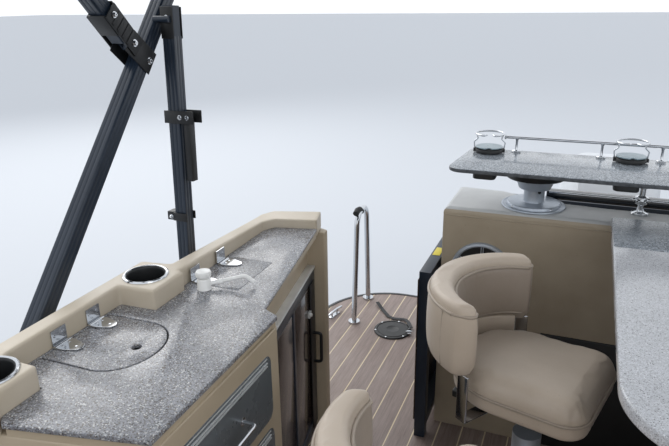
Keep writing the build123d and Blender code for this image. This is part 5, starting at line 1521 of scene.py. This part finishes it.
def addFittings():
    strips, rows = bmesh.new(), []
    for side, first, last in fittings["fenceRuns"]:
        for h, tall in ((575, 14), (545, 5), (170, 10)):
            addBox(strips, at(side * 1264.2, (first + last) / 2, h), (2.2, last - first, tall))
        count = int((last - first) / 290)
        for step in range(count + 1):
            y = first + 20 + (last - first - 40) * step / count
            for h in (92, 600):
                rows.append((at(side * 1263.6, y, h), (side, 0, 0)))
    built("fenceStrips", strips, "brightTrim", "hull", 0.6, 2)
    addStuds("fenceRivets", rows, 5.0, "castAlloy", "hull")

    out = Vector((0, -0.812, 0.584))
    up = Vector((0, 0.584, 0.812))
    facia = (xAxis, up, out)

    def onFacia(x, share):
        # a place on the helm's sloping face, by how far up it is
        return at(x, 250 + 180 * share, 700 + 250 * share)

    steel, glass, black = bmesh.new(), bmesh.new(), bmesh.new()
    for x in (690, 785, 880):
        base = onFacia(x, 0.80)
        addLathe(steel, base, out, ((34, 0), (37, 0.5), (37, 4), (34, 6), (31.5, 5), (31.5, 0), (34, 0)), 40)
        addLathe(glass, base, out, ((31.8, 0.6), (31.8, 2.2), (0, 2.6)), 36)
        addBox(steel, base + out * 0.0032 + up * 0.008, (2, 20, 1.0), axes=facia)
    screen = onFacia(1060, 0.72)
    addBox(black, screen + out * 0.005, (190, 118, 12), axes=facia)
    addBox(glass, screen + out * 0.0115, (168, 96, 2), axes=facia)
    for step in range(6):
        spot = onFacia(985 + 30 * step, 0.38)
        addBox(black, spot + out * 0.003, (20, 34, 8), axes=facia)
    lever = onFacia(1140, 0.16)
    addBox(black, lever + out * 0.014, (52, 74, 28), axes=facia)
    addTube(steel, [lever + out * 0.02, lever + out * 0.075 + up * 0.03], 5.5, 12)
    knob = ((8, 0), (13, 6), (14, 22), (11, 32), (0, 35))
    addLathe(black, lever + out * 0.07 + up * 0.027, out * 0.88 + up * 0.48, knob, 20)
    built("helmRims", steel, "stainless", "hull")
    built("helmGlass", glass, "blackGloss", "hull", 0.6, 2, 50)
    built("helmBlack", black, "blackPlastic", "hull", 2.0, 2, 50)

    cowl = softened("motor_cowl", 0.0005)
    pivot = Vector((0, -4.520, 0.720))
    lift = Matrix.Rotation(math.radians(60), 3, "X")

    def upright(point):
        return (lift @ (point - pivot)).z

    heights = [upright(face.center) for face in cowl.data.polygons]
    low, high = min(heights), max(heights)
    split = low + (high - low) * 0.34
    secondFinish(cowl, "motorGrey", lambda c, n: upright(c) < split)
    secondFinish(cowl, "blackPlastic", lambda c, n: split - 0.007 < upright(c) < split + 0.003)

    bm = bmesh.new()
    x, y, turn = fittings["cleat"]
    run = towards(math.radians(turn))
    for side in (-1, 1):
        addTube(bm, [at(x, y, 0) + run * 0.022 * side, at(x, y, 24) + run * 0.026 * side], 5.5, 12)
    horns = [at(x, y, 26 if abs(reach) < 0.05 else 20) + run * reach for reach in (-0.068, -0.03, 0.03, 0.068)]
    addTube(bm, horns, 6.0, 14)
    addBox(bm, at(x, y, 2.5), (78, 22, 4), turn)
    built("sternCleat", bm, "stainless", "hull", 1.0, 2, 50)

    bm = bmesh.new()
    addBox(bm, at(585, -3094, 651.0), (26, 74, 0.8))
    built("blankLabel", bm, "paleYellow", "hull", 0.3, 2)

    bm = bmesh.new()
    path = bentPath([at(*spot) for spot in fittings["strap"]], 30, 6)
    addTube(bm, path, 0, section=[(-9, -0.9), (9, -0.9), (9, 0.9), (-9, 0.9)])
    strap = built("hatchStrap", bm, "strap", "hull")

    bm = bmesh.new()
    addTube(bm, [at(*spot) for spot in fittings["cap"]], 14.6, 16)
    built("handrailCap", bm, "blackRubber", "hull")

    # a thin darker stone sheet over the table's far end: painted shadow of the bar top
    strip = plateMesh("tableShadowStrip", [roundedBox(1228, 248, 5)], 1.6, 0.5, at(-572, -2882, 870.7))
    addPiece("tableShadowStrip", strip, "tableShadowStone", "hull")


# Floor, backdrop and light

stageLook = {"floor": "bfc3c9", "size": 90.0, "world": 1.12, "key": 360.0, "fill": 90.0}


def addStage():
    mesh = bpy.data.meshes.new("floor")
    half = stageLook["size"]
    corners = [(-half, -half, waterline), (half, -half, waterline), (half, half, waterline), (-half, half, waterline)]
    mesh.from_pydata(corners, [], [(0, 1, 2, 3)])
    floor = placed("floor", mesh)
    mat, _, _ = newMaterial("paleFloor", stageLook["floor"], 0.7)
    mesh.materials.append(mat)
    world = bpy.data.worlds.new("studio")
    bpy.context.scene.world = world
    world.use_nodes = True
    back = world.node_tree.nodes["Background"]
    back.inputs["Color"].default_value = (0.93, 0.96, 1.0, 1)
    back.inputs["Strength"].default_value = stageLook["world"]


def addLamp(name, place, target, size, power, colour):
    data = bpy.data.lights.new(name, "AREA")
    data.shape = "DISK"
    data.size = size
    data.energy = power
    data.color = colour
    lamp = placed(name, data)
    aim = Vector(target) - Vector(place)
    lamp.matrix_world = Matrix.Translation(place) @ aim.to_track_quat("-Z", "Y").to_matrix().to_4x4()


def addLights():
    addLamp("keyLamp", (6.5, -7.5, 7.0), (0.4, -2.0, 1.4), 8.0, stageLook["key"], (1.0, 0.985, 0.96))
    addLamp("fillLamp", (-7.0, 3.0, 6.5), (0, -1.5, 1.2), 6.0, stageLook["fill"], (0.95, 0.98, 1.0))


addCamera()
addStage()
addLights()
print("stage ready")
dressNodes()
soften()
addRim()
print("edges rounded")
addStools()
print("stools ready")
addGalley()
print("galley ready")
addBar()
print("bar ready")
addCanopy()
addCloth()
addStern()
addFittings()
addPads()
print("canopy and stern ready")

bpy.context.scene.view_settings.view_transform = "Standard"
